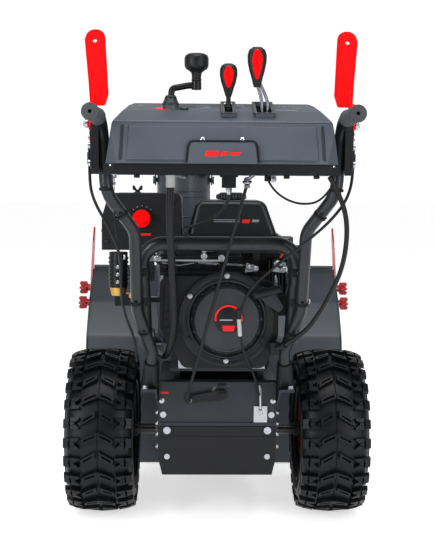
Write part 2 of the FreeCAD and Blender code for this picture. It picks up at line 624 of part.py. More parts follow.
def impeller_drum():
    """Drum behind the housing, closed at the rear but for the shaft and open at the top to the neck."""
    middle = IMPELLER_Z
    shell = rod((0, DRUM_REAR, middle), (0, 460, middle), DRUM_RADIUS)
    bore = rod((0, DRUM_REAR + SHEET, middle), (0, 470, middle), DRUM_RADIUS - SHEET)
    throat = rod((CHUTE_X, CHUTE_Y, middle), (CHUTE_X, CHUTE_Y, CHUTE_BASE), NECK_RADIUS)
    front = HOUSING_LINE + [(1000.0, 549.0), (1000.0, HOUSING_BOTTOM)]
    room = prism([(y - SHEET - 0.6, z) for y, z in front], "x", -300, 300, [0, 50, 50, 50, 0, 0, 0])
    shaft_hole = rod((0, DRUM_REAR - 1, middle), (0, DRUM_REAR + 5, middle), 21.0)
    return group(cut(shell, bore, throat, room, shaft_hole), chute_neck())


def chute_neck():
    """Outlet neck on the drum with the chute's seat ring."""
    middle = IMPELLER_Z
    neck = rod((CHUTE_X, CHUTE_Y, middle), (CHUTE_X, CHUTE_Y, CHUTE_BASE - 12), NECK_RADIUS)
    seat = rod((CHUTE_X, CHUTE_Y, CHUTE_BASE - 16), (CHUTE_X, CHUTE_Y, CHUTE_BASE - 12), 78.0)
    throat = rod((CHUTE_X, CHUTE_Y, middle - 1), (CHUTE_X, CHUTE_Y, CHUTE_BASE), NECK_RADIUS - SHEET)
    inside = rod((0, 200, middle), (0, 470, middle), DRUM_RADIUS - SHEET)
    return cut(fuse(neck, seat), throat, inside)


def skid_shoes():
    """Two adjustable shoes on the side plates and the scraper bar under the back panel."""
    face = prism([(470, 30), (490, 4), (640, 4), (662, 30), (650, 84), (482, 84)], "x",
                 HOUSING_HALF_WIDTH, HOUSING_HALF_WIDTH + 5, 8)
    sole = prism([(484, 0), (646, 0), (668, 26), (664, 29), (643, 5), (487, 5), (468, 29), (464, 26)], "x",
                 HOUSING_HALF_WIDTH, HOUSING_HALF_WIDTH + 30)
    shoe = fuse(face, sole)
    shoe = cut(shoe, *[rod((370, y, 52), (390, y, 52), 4.0) for y in SHOE_BOLTS])
    scraper = box(-360, 360, 391, 425, 3, 7.8)
    return group(shoe, mirrored(shoe), scraper)


def impeller():
    """Four bladed fan, its shaft, the drive pulley behind the drum and the worm in front."""
    middle = IMPELLER_Z
    shaft = rod((0, IMPELLER_PULLEY_Y, middle), (0, 618, middle), 10.0)
    hub = rod((0, 264, middle), (0, 376, middle), 20.0)
    plate = rod((0, 262, middle), (0, 266, middle), 90.0)
    blade = prism([(12, middle - 3), (150, middle - 3), (152, middle + 22), (146, middle + 22), (144, middle + 3),
                   (12, middle + 3)], "y", 264, 374)
    worm = rod((0, 556, middle), (0, 604, middle), 10.4)
    return fuse(shaft, hub, plate, pulley(0, IMPELLER_PULLEY_Y, middle, 92.0), worm,
                *ring_of(blade, 4, (0, 0, middle), (0, 1, 0)))


def auger_gearbox():
    """Cast worm gearbox on the auger shaft, hollow inside."""
    body = rod((-24, AUGER_Y, AUGER_Z), (24, AUGER_Y, AUGER_Z), 38.0)
    tunnel = rod((0, 500, IMPELLER_Z), (0, 636, IMPELLER_Z), 22.0)
    necks = rod((-40, AUGER_Y, AUGER_Z), (40, AUGER_Y, AUGER_Z), 22.0)
    plug = rod((0, 540, IMPELLER_Z), (0, 540, IMPELLER_Z + 27), 8.0)
    cavity = rod((-12, AUGER_Y, AUGER_Z), (12, AUGER_Y, AUGER_Z), 27.0)
    worm_room = rod((0, 545, IMPELLER_Z), (0, 620, IMPELLER_Z), 13.0)
    return cut(fuse(body, tunnel, necks, plug), cavity, worm_room,
               rod((0, 499, IMPELLER_Z), (0, 560, IMPELLER_Z), 10.0 + RUN),
               rod((-41, AUGER_Y, AUGER_Z), (41, AUGER_Y, AUGER_Z), 11.0 + RUN))


def flight_ribbon(start_angle):
    """One helical ribbon of the right-hand auger with its two support arms."""
    outer, inner = AUGER_RADIUS, AUGER_RADIUS - 46
    length, pitch, thickness = 280.0, 300.0, 4.0
    helix = Part.makeHelix(pitch, length, (outer + inner) / 2)
    mean = (outer + inner) / 2
    corners = [V(r, 0, z) for r, z in ((inner, 0), (outer, 0), (outer, thickness), (inner, thickness))]
    section = Part.makePolygon(corners + [corners[0]])
    ribbon = helix.makePipeShell([section], True, True)
    arms = []
    for height in (1.0, length - 1.0):
        arm = box(14, mean, -14, 14, height - 2, height + 4)
        arm.rotate(V(0, 0, 0), V(0, 0, 1), 360.0 * height / pitch)
        arms.append(arm)
    turned = fuse(ribbon, *arms)
    turned.rotate(V(0, 0, 0), V(0, 0, 1), start_angle)
    turned.rotate(V(0, 0, 0), V(0, 1, 0), 90)
    turned.translate(V(52, AUGER_Y, AUGER_Z))
    return turned


def auger():
    """Shaft, worm wheel, two rake tubes and their opposite-handed double ribbons."""
    shaft = rod((-HOUSING_HALF_WIDTH - 8, AUGER_Y, AUGER_Z), (HOUSING_HALF_WIDTH + 8, AUGER_Y, AUGER_Z), 11.0)
    wheel = rod((-9, AUGER_Y, AUGER_Z), (9, AUGER_Y, AUGER_Z), 24.2)
    pipe = rod((44, AUGER_Y, AUGER_Z), (HOUSING_HALF_WIDTH - 32, AUGER_Y, AUGER_Z), 18.0)
    rake = fuse(pipe, flight_ribbon(0), flight_ribbon(180))
    return fuse(shaft, wheel, rake, mirrored(rake))


# ---- discharge chute ----------------------------------------------------------------------------
def channel(radius, reach, low, high):
    """Upright U-shaped block: round at the back, open sides reaching forward."""
    x, y = CHUTE_X, CHUTE_Y
    back = Part.Arc(V(x - radius, y, low), V(x, y - radius, low), V(x + radius, y, low)).toShape()
    corners = [V(x + radius, y, low), V(x + radius, y + reach, low), V(x - radius, y + reach, low),
               V(x - radius, y, low)]
    lines = [Part.LineSegment(a, b).toShape() for a, b in zip(corners, corners[1:])]
    return Part.Face(Part.Wire([back] + lines)).extrude(V(0, 0, high - low))


def chute():
    """Upright channel on a toothed base ring, with the deflector's pivot bosses."""
    x, y, r = CHUTE_X, CHUTE_Y, CHUTE_RADIUS
    base = rod((x, y, CHUTE_BASE - 8), (x, y, CHUTE_BASE), 82.0)
    teeth = ring_of(rod((x + 82, y, CHUTE_BASE - 9), (x + 82, y, CHUTE_BASE + 1), 3.2), 36, (x, y, 0), (0, 0, 1))
    lower = rod((x, y, CHUTE_BASE), (x, y, CHUTE_BASE + 60), r)
    upper = channel(r, 24, CHUTE_BASE + 55, CHUTE_TOP)
    rims = [box(x + s * r - 3, x + s * r + 3, y + 18, y + 24, CHUTE_BASE + 60, CHUTE_TOP) for s in (-1, 1)]
    bands = [channel(r + 2.5, 12, z, z + 6) for z in (CHUTE_BASE + 60, CHUTE_BASE + 230, CHUTE_TOP - 50)]
    bosses = rod((x - r - 14, y, CHUTE_TOP - 20), (x + r + 14, y, CHUTE_TOP - 20), 6.0)
    heads = [rod((x + s * (r + 10), y, CHUTE_TOP - 20), (x + s * (r + 14), y, CHUTE_TOP - 20), 11.0)
             for s in (-1, 1)]
    body = fuse(cut(base, *teeth), lower, upper, bosses, *rims, *bands, *heads)
    return cut(body, rod((x, y, CHUTE_BASE - 10), (x, y, CHUTE_BASE + 61), r - SHEET),
               channel(r - SHEET, 40, CHUTE_BASE + 60, CHUTE_TOP + 1))


def deflector():
    """Curved cap hinged across the chute's top."""
    x, y = CHUTE_X, CHUTE_Y
    pivot = CHUTE_TOP - 20

    def solid(inset, reach, floor):
        profile = [(y - 80 + inset, floor), (y - 80 + inset, 905), (y - 22, 985 - inset), (y + reach, 1000 - inset),
                   (y + reach, 940), (y + 46, floor)]
        cross = prism(profile, "x", x - 90, x + 90, [0, 60, 40, 0, 0, 0])
        return channel(80 - inset, 100, floor - 5, 1010).common(cross)

    shell = cut(solid(0, 70, 844), solid(3, 90, 840))
    ear = rod((x + 77, y, pivot), (x + 80, y, pivot), 15.0).fuse(box(x + 77, x + 80, y - 15, y + 15, pivot, 848))
    ears = fuse(ear, ear.mirror(V(x, 0, 0), V(1, 0, 0)))
    lip = box(x - 79, x + 79, y + 66, y + 70, 997, 1003)
    return cut(fuse(shell, ears, lip), rod((x - 100, y, pivot), (x + 100, y, pivot), 6.0 + RUN))


def chute_bracket():
    """Sheet bracket on the chute's seat with two ears that carry the worm."""
    plate = box(WORM_X - 16, CHUTE_X - 60, CHUTE_Y - 46, CHUTE_Y + 46, CHUTE_BASE - 20, CHUTE_BASE - 16)
    plate = plate.cut(rod((CHUTE_X, CHUTE_Y, 300), (CHUTE_X, CHUTE_Y, 400), 64.2))
    ears = [box(WORM_X - 16, WORM_X + 13, CHUTE_Y + s - 2, CHUTE_Y + s + 2, CHUTE_BASE - 16, CHUTE_BASE + 14)
            for s in (-44, 44)]
    wall = box(WORM_X - 20, WORM_X - 16, CHUTE_Y - 46, CHUTE_Y + 46, CHUTE_BASE - 20, CHUTE_BASE + 14)
    return cut(fuse(plate, wall, *ears), rod((WORM_X, 200, WORM_Z), (WORM_X, 400, WORM_Z), 6.0 + RUN))


def chute_worm():
    """Worm that turns the chute's ring, on a shaft carried by the bracket's ears."""
    shaft = rod((WORM_X, CHUTE_Y - 70, WORM_Z), (WORM_X, CHUTE_Y + 52, WORM_Z), 6.0)
    core = rod((WORM_X, CHUTE_Y - 34, WORM_Z), (WORM_X, CHUTE_Y + 34, WORM_Z), 9.0)
    turns = [rod((WORM_X, CHUTE_Y + 10 * i - 2, WORM_Z), (WORM_X, CHUTE_Y + 10 * i + 2, WORM_Z), 11.5)
             for i in range(-3, 4)]
    return fuse(shaft, core, *turns)


# ---- drift cutters ------------------------------------------------------------------------------
def along_cutter(distance, across=0.0):
    """Y and Z of a point at a distance above the upper stud, measured along the leaning bar."""
    y, z = CUTTER_STUDS[0]
    return (y + distance * math.sin(CUTTER_LEAN) - across * math.cos(CUTTER_LEAN),
            z + distance * math.cos(CUTTER_LEAN) + across * math.sin(CUTTER_LEAN))


def right_drift_cutter():
    """Flat bar with a pointed top and a long slot over its two studs."""
    bar = [along_cutter(-72, 15), along_cutter(-72, -15), along_cutter(150, -15), along_cutter(205, -3),
           along_cutter(205, 3), along_cutter(150, 15)]
    slot = [along_cutter(-56, 4.6), along_cutter(-56, -4.6), along_cutter(104, -4.6), along_cutter(104, 4.6)]
    start = HOUSING_HALF_WIDTH + 0.6
    return cut(prism(bar, "x", start, start + 5, [6, 6, 0, 0, 0, 0]), prism(slot, "x", start - 1, start + 6))


def wing_knob(index):
    """Moulded four winged knob on a cutter stud."""
    y, z = CUTTER_STUDS[index]
    seat = HOUSING_HALF_WIDTH + 7.0
    hub = cone((seat, y, z), (seat + 26, y, z), 11.0, 8.0)
    wing = prism([(seat + 6, y - 8), (seat + 10, y - 19), (seat + 30, y - 19), (seat + 33, y - 12), (seat + 24, y),
                  (seat + 33, y + 12), (seat + 30, y + 19), (seat + 10, y + 19), (seat + 6, y + 8)],
                 "z", z - 3, z + 3, 2.5)
    upright = wing.copy()
    upright.rotate(V(0, y, z), V(1, 0, 0), 90)
    return cut(fuse(hub, wing, upright), rod((seat - 1, y, z), (seat + 22, y, z), 4.0 + RUN))


# ---- console ------------------------------------------------------------------------------------
def console_plan(inset, low, high):
    """Plan of the dashboard: its rear corners are cut back at a slant."""
    half = CONSOLE_HALF_WIDTH + 5 - inset
    rear = CONSOLE_REAR + inset
    outline = [(-half, rear + 34), (-half + 30, rear), (half - 30, rear), (half, rear + 34), (half, -300),
               (-half, -300)]
    return prism(outline, "z", low, high, [8, 8, 8, 8, 0, 0])


def console_block(inset):
    """Solid console shape: a side profile crossed with a tapering front outline."""
    profile = [(CONSOLE_REAR + inset, 859), (-500 + inset, 943 - inset / 2), (-452, 966 - inset), (-380, 987 - inset),
               (-342 - inset, 972 - inset), (-326 - inset, 859)]
    half = CONSOLE_HALF_WIDTH - inset
    front = [(-half, 859), (-half + 5, 885), (-half + 14, 940), (-half + 46, 987 - inset),
             (half - 46, 987 - inset), (half - 14, 940), (half - 5, 885), (half, 859)]
    rounding = max(14 - inset, 2)
    length = prism(profile, "x", -260, 260, [0, rounding, 30, rounding, rounding, 0])
    width = prism(front, "y", -560, -300, [0, 30, 20, 24, 24, 20, 30, 0])
    return length.common(width).common(console_plan(inset, 850, 1000))


def handle_room():
    """Space taken by both handle tubes, used to notch the console and its tray."""
    return both_sides(bent_rod(HANDLE_PATH[:4], HANDLE_TUBE_RADIUS + GAP, HANDLE_BENDS[:4]))


def console_shell():
    """Moulded dashboard with a raised middle panel and slots for the controls."""
    outer = console_block(0)
    panel = prism([(-68, 859), (68, 859), (62, 900), (-62, 900)], "y", -531, -505, [0, 0, 8, 8])
    crank_seat = rod((CRANK_POST[0], CRANK_POST[1], 940), (CRANK_POST[0], CRANK_POST[1], 982), 16.0)
    bezels = [box(STICK_X - 14, STICK_X + 14, -484, -384, 950, 974),
              box(SPEED_X - 21, SPEED_X + 15, -486, -382, 950, 974)]
    for bezel in bezels:
        bezel.rotate(V(0, -435, 964), V(1, 0, 0), 16)
    body = fuse(outer, panel, crank_seat, *bezels)
    crease = box(-240, 240, -510, -499.2, 938.5, 941)
    pockets = [
        console_block(CONSOLE_WALL),
        box(-240, 240, -540, -300, 850, 859),
        crease,
        rod((CRANK_POST[0], CRANK_POST[1], 930), (CRANK_POST[0], CRANK_POST[1], 990), 9.0 + RUN),
        box(STICK_X - 8, STICK_X + 8, -476, -388, 940, 1000),
        box(SPEED_X - 18, SPEED_X + 12, -480, -388, 940, 1000),
        handle_room(),
    ]
    return cut(body, *pockets)


def console_tray():
    """Pan under the dashboard with the pivot posts of the joystick and the speed lever."""
    pan = box(-236, 236, -512, -328, 838, 858.8)
    pan = pan.makeFillet(10, [e for e in pan.Edges if abs(e.CenterOfMass.z - 848.4) < 1])
    pan = pan.common(console_plan(0, 830, 860)).cut(box(-236, 236, -509, -331, 841, 860).common(
        console_plan(6, 830, 870)))
    posts = []
    for x, y, z in ((STICK_X, STICK_Y, STICK_PIVOT_Z), (SPEED_X, SPEED_PIVOT_Y, SPEED_PIVOT_Z)):
        posts += [box(x + s - 2, x + s + 2, y - 10, y + 10, 840, z + 8) for s in (-15, 15)]
        posts.append(rod((x - 17, y, z), (x + 17, y, z), 4.0))
    crank_tube = rod((CRANK_POST[0], CRANK_POST[1], 841), (CRANK_POST[0], CRANK_POST[1], 902), 13.0)
    return cut(fuse(pan, *posts, crank_tube), box(46, 98, -424, -332, 830, 845),
               rod((CRANK_POST[0], CRANK_POST[1], 830), (CRANK_POST[0], CRANK_POST[1], 905), 9.5), handle_room())


def joystick():
    """Stick on a cross pivot with a tall moulded grip."""
    x, y = STICK_X, STICK_Y
    hub = rod((x - 12, y, STICK_PIVOT_Z), (x + 12, y, STICK_PIVOT_Z), 9.0)
    stem = rod((x, y, STICK_PIVOT_Z + 4), (x, y, 1010), 5.0)
    grip = prism([(x - 15, 1004), (x + 15, 1004), (x + 18, 1050), (x + 12, 1061), (x - 12, 1061), (x - 18, 1050)],
                 "y", y - 12, y + 12, [5, 5, 8, 6, 6, 8])
    boot = cone((x, y, 972), (x, y, 988), 7.5, 5.5)
    return cut(fuse(hub, stem, boot, grip), rod((x - 20, y, STICK_PIVOT_Z), (x + 20, y, STICK_PIVOT_Z), 4.0 + RUN))


def speed_lever():
    """Twin rod lever with a tall grip above its pivot and a ball ended arm below."""
    y, z = SPEED_PIVOT_Y, SPEED_PIVOT_Z
    hub = rod((SPEED_X - 12, y, z), (SPEED_X + 12, y, z), 10.0)
    rods = [bent_rod([(SPEED_X + s, y, z), (SPEED_X + s, -431, 985), (SPEED_X - 16 + s, -430, 1030)], 3.5, 20)
            for s in (-6, 6)]
    grip = prism([(52, 1021), (85, 1021), (90, 1060), (88, 1095), (56, 1095), (50, 1060)], "y", -442, -418,
                 [6, 6, 20, 9, 9, 20])
    arm = bent_rod([(SPEED_X - 2, y, z), (SPEED_X - 8, -402, 850), SHIFT_BALL], 4.0, 15)
    body = fuse(hub, *rods, grip, arm, ball(SHIFT_BALL, 7.0))
    return cut(body, rod((SPEED_X - 20, y, z), (SPEED_X + 20, y, z), 4.0 + RUN))


def shift_rod():
    """Control rod with a cup on the lever's ball and a hooked lower end."""
    x, y, z = SHIFT_BALL
    toward_lever = unit(V(SPEED_X - 8, -402, 850) - V(*SHIFT_BALL))
    relief = cone(SHIFT_BALL, V(*SHIFT_BALL) + toward_lever * 16, 2.0, 19.0)
    cup = cut(ball(SHIFT_BALL, 10.5), ball(SHIFT_BALL, 7.3), box(x - 12, x + 12, y - 12, y + 12, z - 1, z + 12),
              relief)
    bar = bent_rod([(x, y, z - 8.5), SHIFT_HOOK, SHIFT_END], 3.5, 12)
    eye = rod((SHIFT_END[0], SHIFT_END[1] - 4, SHIFT_END[2]), (SHIFT_END[0], SHIFT_END[1] + 2, SHIFT_END[2]), 9.0)
    return fuse(cup, bar, eye)


def speed_arm():
    """Arm on a cross shaft through the rear cover, with a ball stud at its outer end."""
    plate = prism([(11, 313), (24, 326), (11, 339), (-68, 322), (-77, 313), (-68, 306)], "y", -171, -167,
                  [8, 8, 8, 6, 6, 6])
    hub = rod((11, -176, 326), (11, -161, 326), 11.0)
    shaft = rod((11, -161, 326), (11, -128, 326), 6.0)
    stud = rod((-68, -173, 314), (-68, -171, 314), 7.0)
    nut = rod((11, -180, 326), (11, -176, 326), 7.0)
    fork = box(7, 15, -140, -134, 296, 330)
    return fuse(plate, hub, shaft, stud, nut, fork)


def chute_crank():
    """Cranked handle on an upright post that enters the console."""
    x, y = CRANK_POST
    post = rod((x, y, 905), (x, y, 985), 9.0)
    collar = rod((x, y, 983), (x, y, 994), 12.5)
    arm = bent_rod([(x, y, 985), (x + 2, y, 1012), (x + 34, y, 1018), (x + 52, y, 1019)], 6.5, [0, 9, 30, 0])
    eye = rod((x + 52, y, 1010), (x + 52, y, 1026), 10.0)
    stem = rod((x + 52, y, 1026), (x + 52, y, 1070), 4.0)
    return fuse(post, collar, arm, eye, stem)


def crank_knob():
    """Mushroom shaped knob that spins on the crank's stem."""
    x, y = CRANK_POST[0] + 52, CRANK_POST[1]
    profile = [(4.0 + RUN, 1027), (10, 1027), (9, 1044), (17, 1058), (24.5, 1066), (24.5, 1074), (16, 1081),
               (0, 1082.5), (0, 1071), (4.0 + RUN, 1071)]
    face = Part.Face(bent_path([(x + r, y, z) for r, z in profile], [0, 2, 20, 14, 4, 4, 10, 0, 0, 0], closed=True))
    return face.revolve(V(x, y, 0), V(0, 0, 1), 360)


# ---- handles ------------------------------------------------------------------------------------
HANDLE_PATH = [(-GRIP_X, GRIP_REAR + 4, GRIP_Z), (-243, -448, 948), (-233, -446, 800), (-179, -392, 720),
               (-181, -300, 543), (-150, -232, 440), (-158, -182, 349.2)]
HANDLE_BENDS = [0, 46, 70, 70, 90, 60, 0]


def handlebars():
    """Two bent tubes, each with a welded plate that carries its clutch lever's pin."""
    tube = bent_rod(HANDLE_PATH, HANDLE_TUBE_RADIUS, HANDLE_BENDS, HANDLE_TUBE_RADIUS - 2)
    plate = prism([(-474, 846), (-428, 846), (-424, 950), (-436, 958), (-470, 930)], "x", -263, -259,
                  [8, 8, 8, 8, 8])
    welds = box(-259, -254, -456, -440, 860, 920)
    pin = rod((-263, LEVER_PIVOT_Y, LEVER_PIVOT_Z), (-270, LEVER_PIVOT_Y, LEVER_PIVOT_Z), 4.0)
    head = rod((-270, LEVER_PIVOT_Y, LEVER_PIVOT_Z), (-276, LEVER_PIVOT_Y, LEVER_PIVOT_Z), 8.0)
    bore = bent_rod(HANDLE_PATH[:4], HANDLE_TUBE_RADIUS - 2, HANDLE_BENDS[:4])
    floor = box(-200, -100, -240, -120, 300, HANDLE_PATH[-1][2])
    side = cut(fuse(tube, plate, welds, pin, head), bore, floor)
    return both_sides(cut(side, *[rod((-270, y, z), (-250, y, z), 3.1) for y, z in PLATE_BOLTS]))


def handle_grips():
    """Foam grips over the tubes, each with a closed end and a vent hole."""
    start = V(*HANDLE_PATH[0])
    along = unit(V(*HANDLE_PATH[1]) - start)
    first = start - along * 6
    grip = Part.makeCylinder(15.5, GRIP_FRONT - GRIP_REAR, first, along)
    grip = cut(grip, Part.makeCylinder(HANDLE_TUBE_RADIUS, 200, first + along * 5, along),
               Part.makeCylinder(3.5, 10, first - along, along))
    return both_sides(grip)


def handle_sleeves():
    """Tapered sleeves that seat the tubes on the case's shelves."""
    low = V(*HANDLE_PATH[-1])
    along = unit(V(*HANDLE_PATH[-2]) - low)
    sleeve = Part.makeCone(23, 16.5, 84, low - along * 12, along)
    sleeve = sleeve.cut(Part.makeCylinder(HANDLE_TUBE_RADIUS, 140, low - along * 30, along))
    return both_sides(sleeve.cut(box(-200, -100, -240, -120, 300, 349.2)))


def roll_bar():
    """Hoop across the handles that guards the engine's starter side."""
    path = [(-166, -205, 450), (-172, -305, 690), (172, -305, 690), (166, -205, 450)]
    hoop = bent_rod(path, ROLL_BAR_RADIUS, [0, 52, 52, 0], ROLL_BAR_RADIUS - 2)
    return hoop


def clutch_lever():
    """Left clutch lever: a broad paddle on a flange that pivots outside the handle."""
    lean = math.degrees(math.atan2(60, 162))
    paddle = prism([(-271, 0), (-240, 0), (-234, 26), (-246, 173), (-288, 173)], "y", -2, 2, [3, 6, 20, 20, 20])
    paddle = paddle.cut(rod((-266, -5, 147), (-266, 5, 147), 4.5))
    paddle.rotate(V(0, 0, 0), V(1, 0, 0), -lean)
    paddle.translate(V(0, -394, 980))
    flange = prism([(-449, 936), (-440, 926), (-430, 930), (-388, 976), (-374, 1016), (-381, 1018), (-404, 986)],
                   "x", -267, -263.5, 3)
    arm = prism([(-448, 942), (-432, 942), (-434, 904), (-446, 904)], "x", -267, -263.5, [0, 0, 5, 5])
    hub = rod((-268.5, LEVER_PIVOT_Y, LEVER_PIVOT_Z), (-263.5, LEVER_PIVOT_Y, LEVER_PIVOT_Z), 13.0)
    rib = prism([(-438, 955), (-433, 950), (-394, 981), (-397, 986)], "x", -276, -263.5)
    return cut(fuse(paddle, flange, arm, hub, rib),
               rod((-280, LEVER_PIVOT_Y, LEVER_PIVOT_Z), (-250, LEVER_PIVOT_Y, LEVER_PIVOT_Z), 4.0 + RUN),
               rod((-280, -440, 911), (-250, -440, 911), 2.5))


# ---- cables and fasteners -----------------------------------------------------------------------
def cable(name, points, radius):
    """A held cable: straight runs joined by the largest arcs that the runs leave room for."""
    corners = [V(*point) for point in points]
    radii = [0.0]
    for before, corner, after in zip(corners, corners[1:], corners[2:]):
        turn = math.pi - (before - corner).getAngle(after - corner)
        shorter = min((before - corner).Length, (after - corner).Length)
        radii.append(0.45 * shorter / math.tan(turn / 2))
    radii.append(0.0)
    path = bent_path(points, radii)
    section = Part.Wire(Part.makeCircle(radius, corners[0], corners[1] - corners[0]))
    solid = path.makePipeShell([section], True, False)
    expected = math.pi * radius ** 2 * path.Length
    print(f"{name}: radii {[round(r) for r in radii[1:-1]]}, volume ratio {solid.Volume / expected:.4f}")
    return solid


def control_cables():
    """Clutch cables, deflector cable, throttle cable and the thick wiring harness."""
    return group(*[cable(name, points, radius) for name, points, radius in CABLE_ROUTES])


def crank_sheath():
    """Sheathed flexible shaft from the chute crank down to the worm."""
    sleeve = rod((CRANK_POST[0], CRANK_POST[1], 812), (CRANK_POST[0], CRANK_POST[1], 904), 9.4)
    return group(sleeve, cable("crank sheath", SHEATH_ROUTE, 8.0))


def fasteners():
    """Every screw, bolt and stud that shows, each as its own solid."""
    pieces = []
    for x, z, r in REAR_SCREWS:
        pieces.append(bolt((x, -156.0, z), (0, 1, 0), 7.5, 4, r - 0.1, 12))
    for x, z, r in PAN_SCREWS:
        seat = -156.0 if z > 224 else -152.5
        pieces.append(bolt((x, seat, z), (0, 1, 0), 2.1 * r, 4, r - 0.1, 11))
    for side in (-1, 1):
        for y, z in CUTTER_STUDS:
            start = side * (HOUSING_HALF_WIDTH - SHEET - 3)
            pieces.append(rod((start, y, z), (side * (HOUSING_HALF_WIDTH + 28), y, z), 4.0))
            pieces.append(rod((start, y, z), (side * (HOUSING_HALF_WIDTH - SHEET), y, z), 9.0, 4.0))
        for y in SHOE_BOLTS:
            pieces.append(bolt((side * (HOUSING_HALF_WIDTH + 5), y, 52), (-side, 0, 0), 8.0, 6, 4.0, 14))
        for y, z in PLATE_BOLTS:
            pieces.append(bolt((side * 263, y, z), (-side, 0, 0), 7.0, 5, 3.0, 9))
    return group(*pieces)


# ---- assembly -----------------------------------------------------------------------------------
NODES = {
    "transmission_case": transmission_case, "rear_cover": rear_cover, "belly_cover": belly_cover,
    "engine_base": engine_base, "bearings": bearings,
    "friction_disc": friction_disc, "hex_shaft": hex_shaft, "friction_wheel": friction_wheel,
    "crankshaft": crankshaft, "engine_block": engine_block, "blower_shroud": blower_shroud,
    "recoil_cover": recoil_cover, "recoil_handle": recoil_handle, "fuel_tank": fuel_tank,
    "fuel_cap": fuel_cap, "intake_hood": intake_hood, "carburettor": carburettor,
    "choke_knob": choke_knob, "muffler": muffler, "starter_motor": starter_motor,
    "belt_cover": belt_cover, "drive_belts": drive_belts,
    "right_tyre": right_tyre, "left_tyre": lambda: mirrored(right_tyre()),
    "right_rim": right_rim, "left_rim": lambda: mirrored(right_rim()),
    "auger_housing": auger_housing, "housing_sides": housing_sides, "impeller_drum": impeller_drum,
    "skid_shoes": skid_shoes,
    "impeller": impeller, "auger_gearbox": auger_gearbox, "auger": auger,
    "chute": chute, "deflector": deflector, "chute_bracket": chute_bracket, "chute_worm": chute_worm,
    "right_drift_cutter": right_drift_cutter, "left_drift_cutter": lambda: mirrored(right_drift_cutter()),
    "right_upper_knob": lambda: wing_knob(0), "left_upper_knob": lambda: mirrored(wing_knob(0)),
    "right_lower_knob": lambda: wing_knob(1), "left_lower_knob": lambda: mirrored(wing_knob(1)),
    "console_shell": console_shell, "console_tray": console_tray, "joystick": joystick,
    "speed_lever": speed_lever, "shift_rod": shift_rod, "speed_arm": speed_arm,
    "chute_crank": chute_crank, "crank_knob": crank_knob, "crank_sheath": crank_sheath,
    "handlebars": handlebars, "handle_grips": handle_grips, "handle_sleeves": handle_sleeves,
    "roll_bar": roll_bar, "left_clutch_lever": clutch_lever,
    "right_clutch_lever": lambda: mirrored(clutch_lever()),
    "control_cables": control_cables, "fasteners": fasteners,
}


def main():
    os.makedirs("parts", exist_ok=True)
    for name, make in NODES.items():
        shape = make()
        print(f"{name}: {len(shape.Solids)} solids, {shape.Volume / 1000:.1f} cm3, valid {shape.isValid()}")
        shape.exportStep(f"parts/{name}.step")


if __name__ == "__main__":
    main()
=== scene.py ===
"""Looks of the two stage snowblower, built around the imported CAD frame. Metres, +Z up, +Y forward."""
from math import atan2, copysign, cos, pi, radians, sin, sqrt

import bmesh
import bpy
from mathutils import Matrix, Vector


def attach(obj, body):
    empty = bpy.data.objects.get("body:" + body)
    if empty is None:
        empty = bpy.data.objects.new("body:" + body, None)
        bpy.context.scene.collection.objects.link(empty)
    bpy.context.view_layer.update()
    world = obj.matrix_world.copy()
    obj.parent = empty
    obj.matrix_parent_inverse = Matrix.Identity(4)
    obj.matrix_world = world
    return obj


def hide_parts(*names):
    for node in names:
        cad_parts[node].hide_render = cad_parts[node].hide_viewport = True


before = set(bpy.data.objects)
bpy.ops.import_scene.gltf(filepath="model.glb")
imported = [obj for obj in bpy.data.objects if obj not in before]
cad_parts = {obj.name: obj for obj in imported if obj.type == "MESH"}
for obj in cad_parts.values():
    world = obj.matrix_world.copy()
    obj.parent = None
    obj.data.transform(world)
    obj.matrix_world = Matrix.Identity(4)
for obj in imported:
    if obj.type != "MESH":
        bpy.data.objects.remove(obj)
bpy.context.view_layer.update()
MM = 0.001

# Places and directions shared by several pieces, in millimetres.
SIDES = (-1, 1)
UP = (0, 0, 1)
DOWN = (0, 0, -1)
REARWARD = (0, -1, 0)
WHEEL_TRACK = 562
AXLE_HEIGHT = 203
HUB_EDGE = 19.6
STICK_X, STICK_Y = 13, -430
LEVER_X, LEVER_Y = 87, -437
PIVOT_HEIGHT = {"joystick": 900, "speed_lever": 880}
SHIFT_BALL = (55.7, -362, 828)
CRANK_X, CRANK_Y = -104, -430
STARTER_X, STARTER_Z = 18, 515
BADGE_X, BADGE_Z = 22, 518
CHUTE_X, CHUTE_Y = -90, 317
AUGER_Y, AUGER_Z = 580, 180


# ---- materials ----
MATS = {}


def add(tree, kind, **values):
    """Add a shader node and set its inputs; an underscore stands for a space in an input's name."""
    node = tree.nodes.new("ShaderNode" + kind)
    for name, value in values.items():
        node.inputs[name.replace("_", " ")].default_value = value
    return node


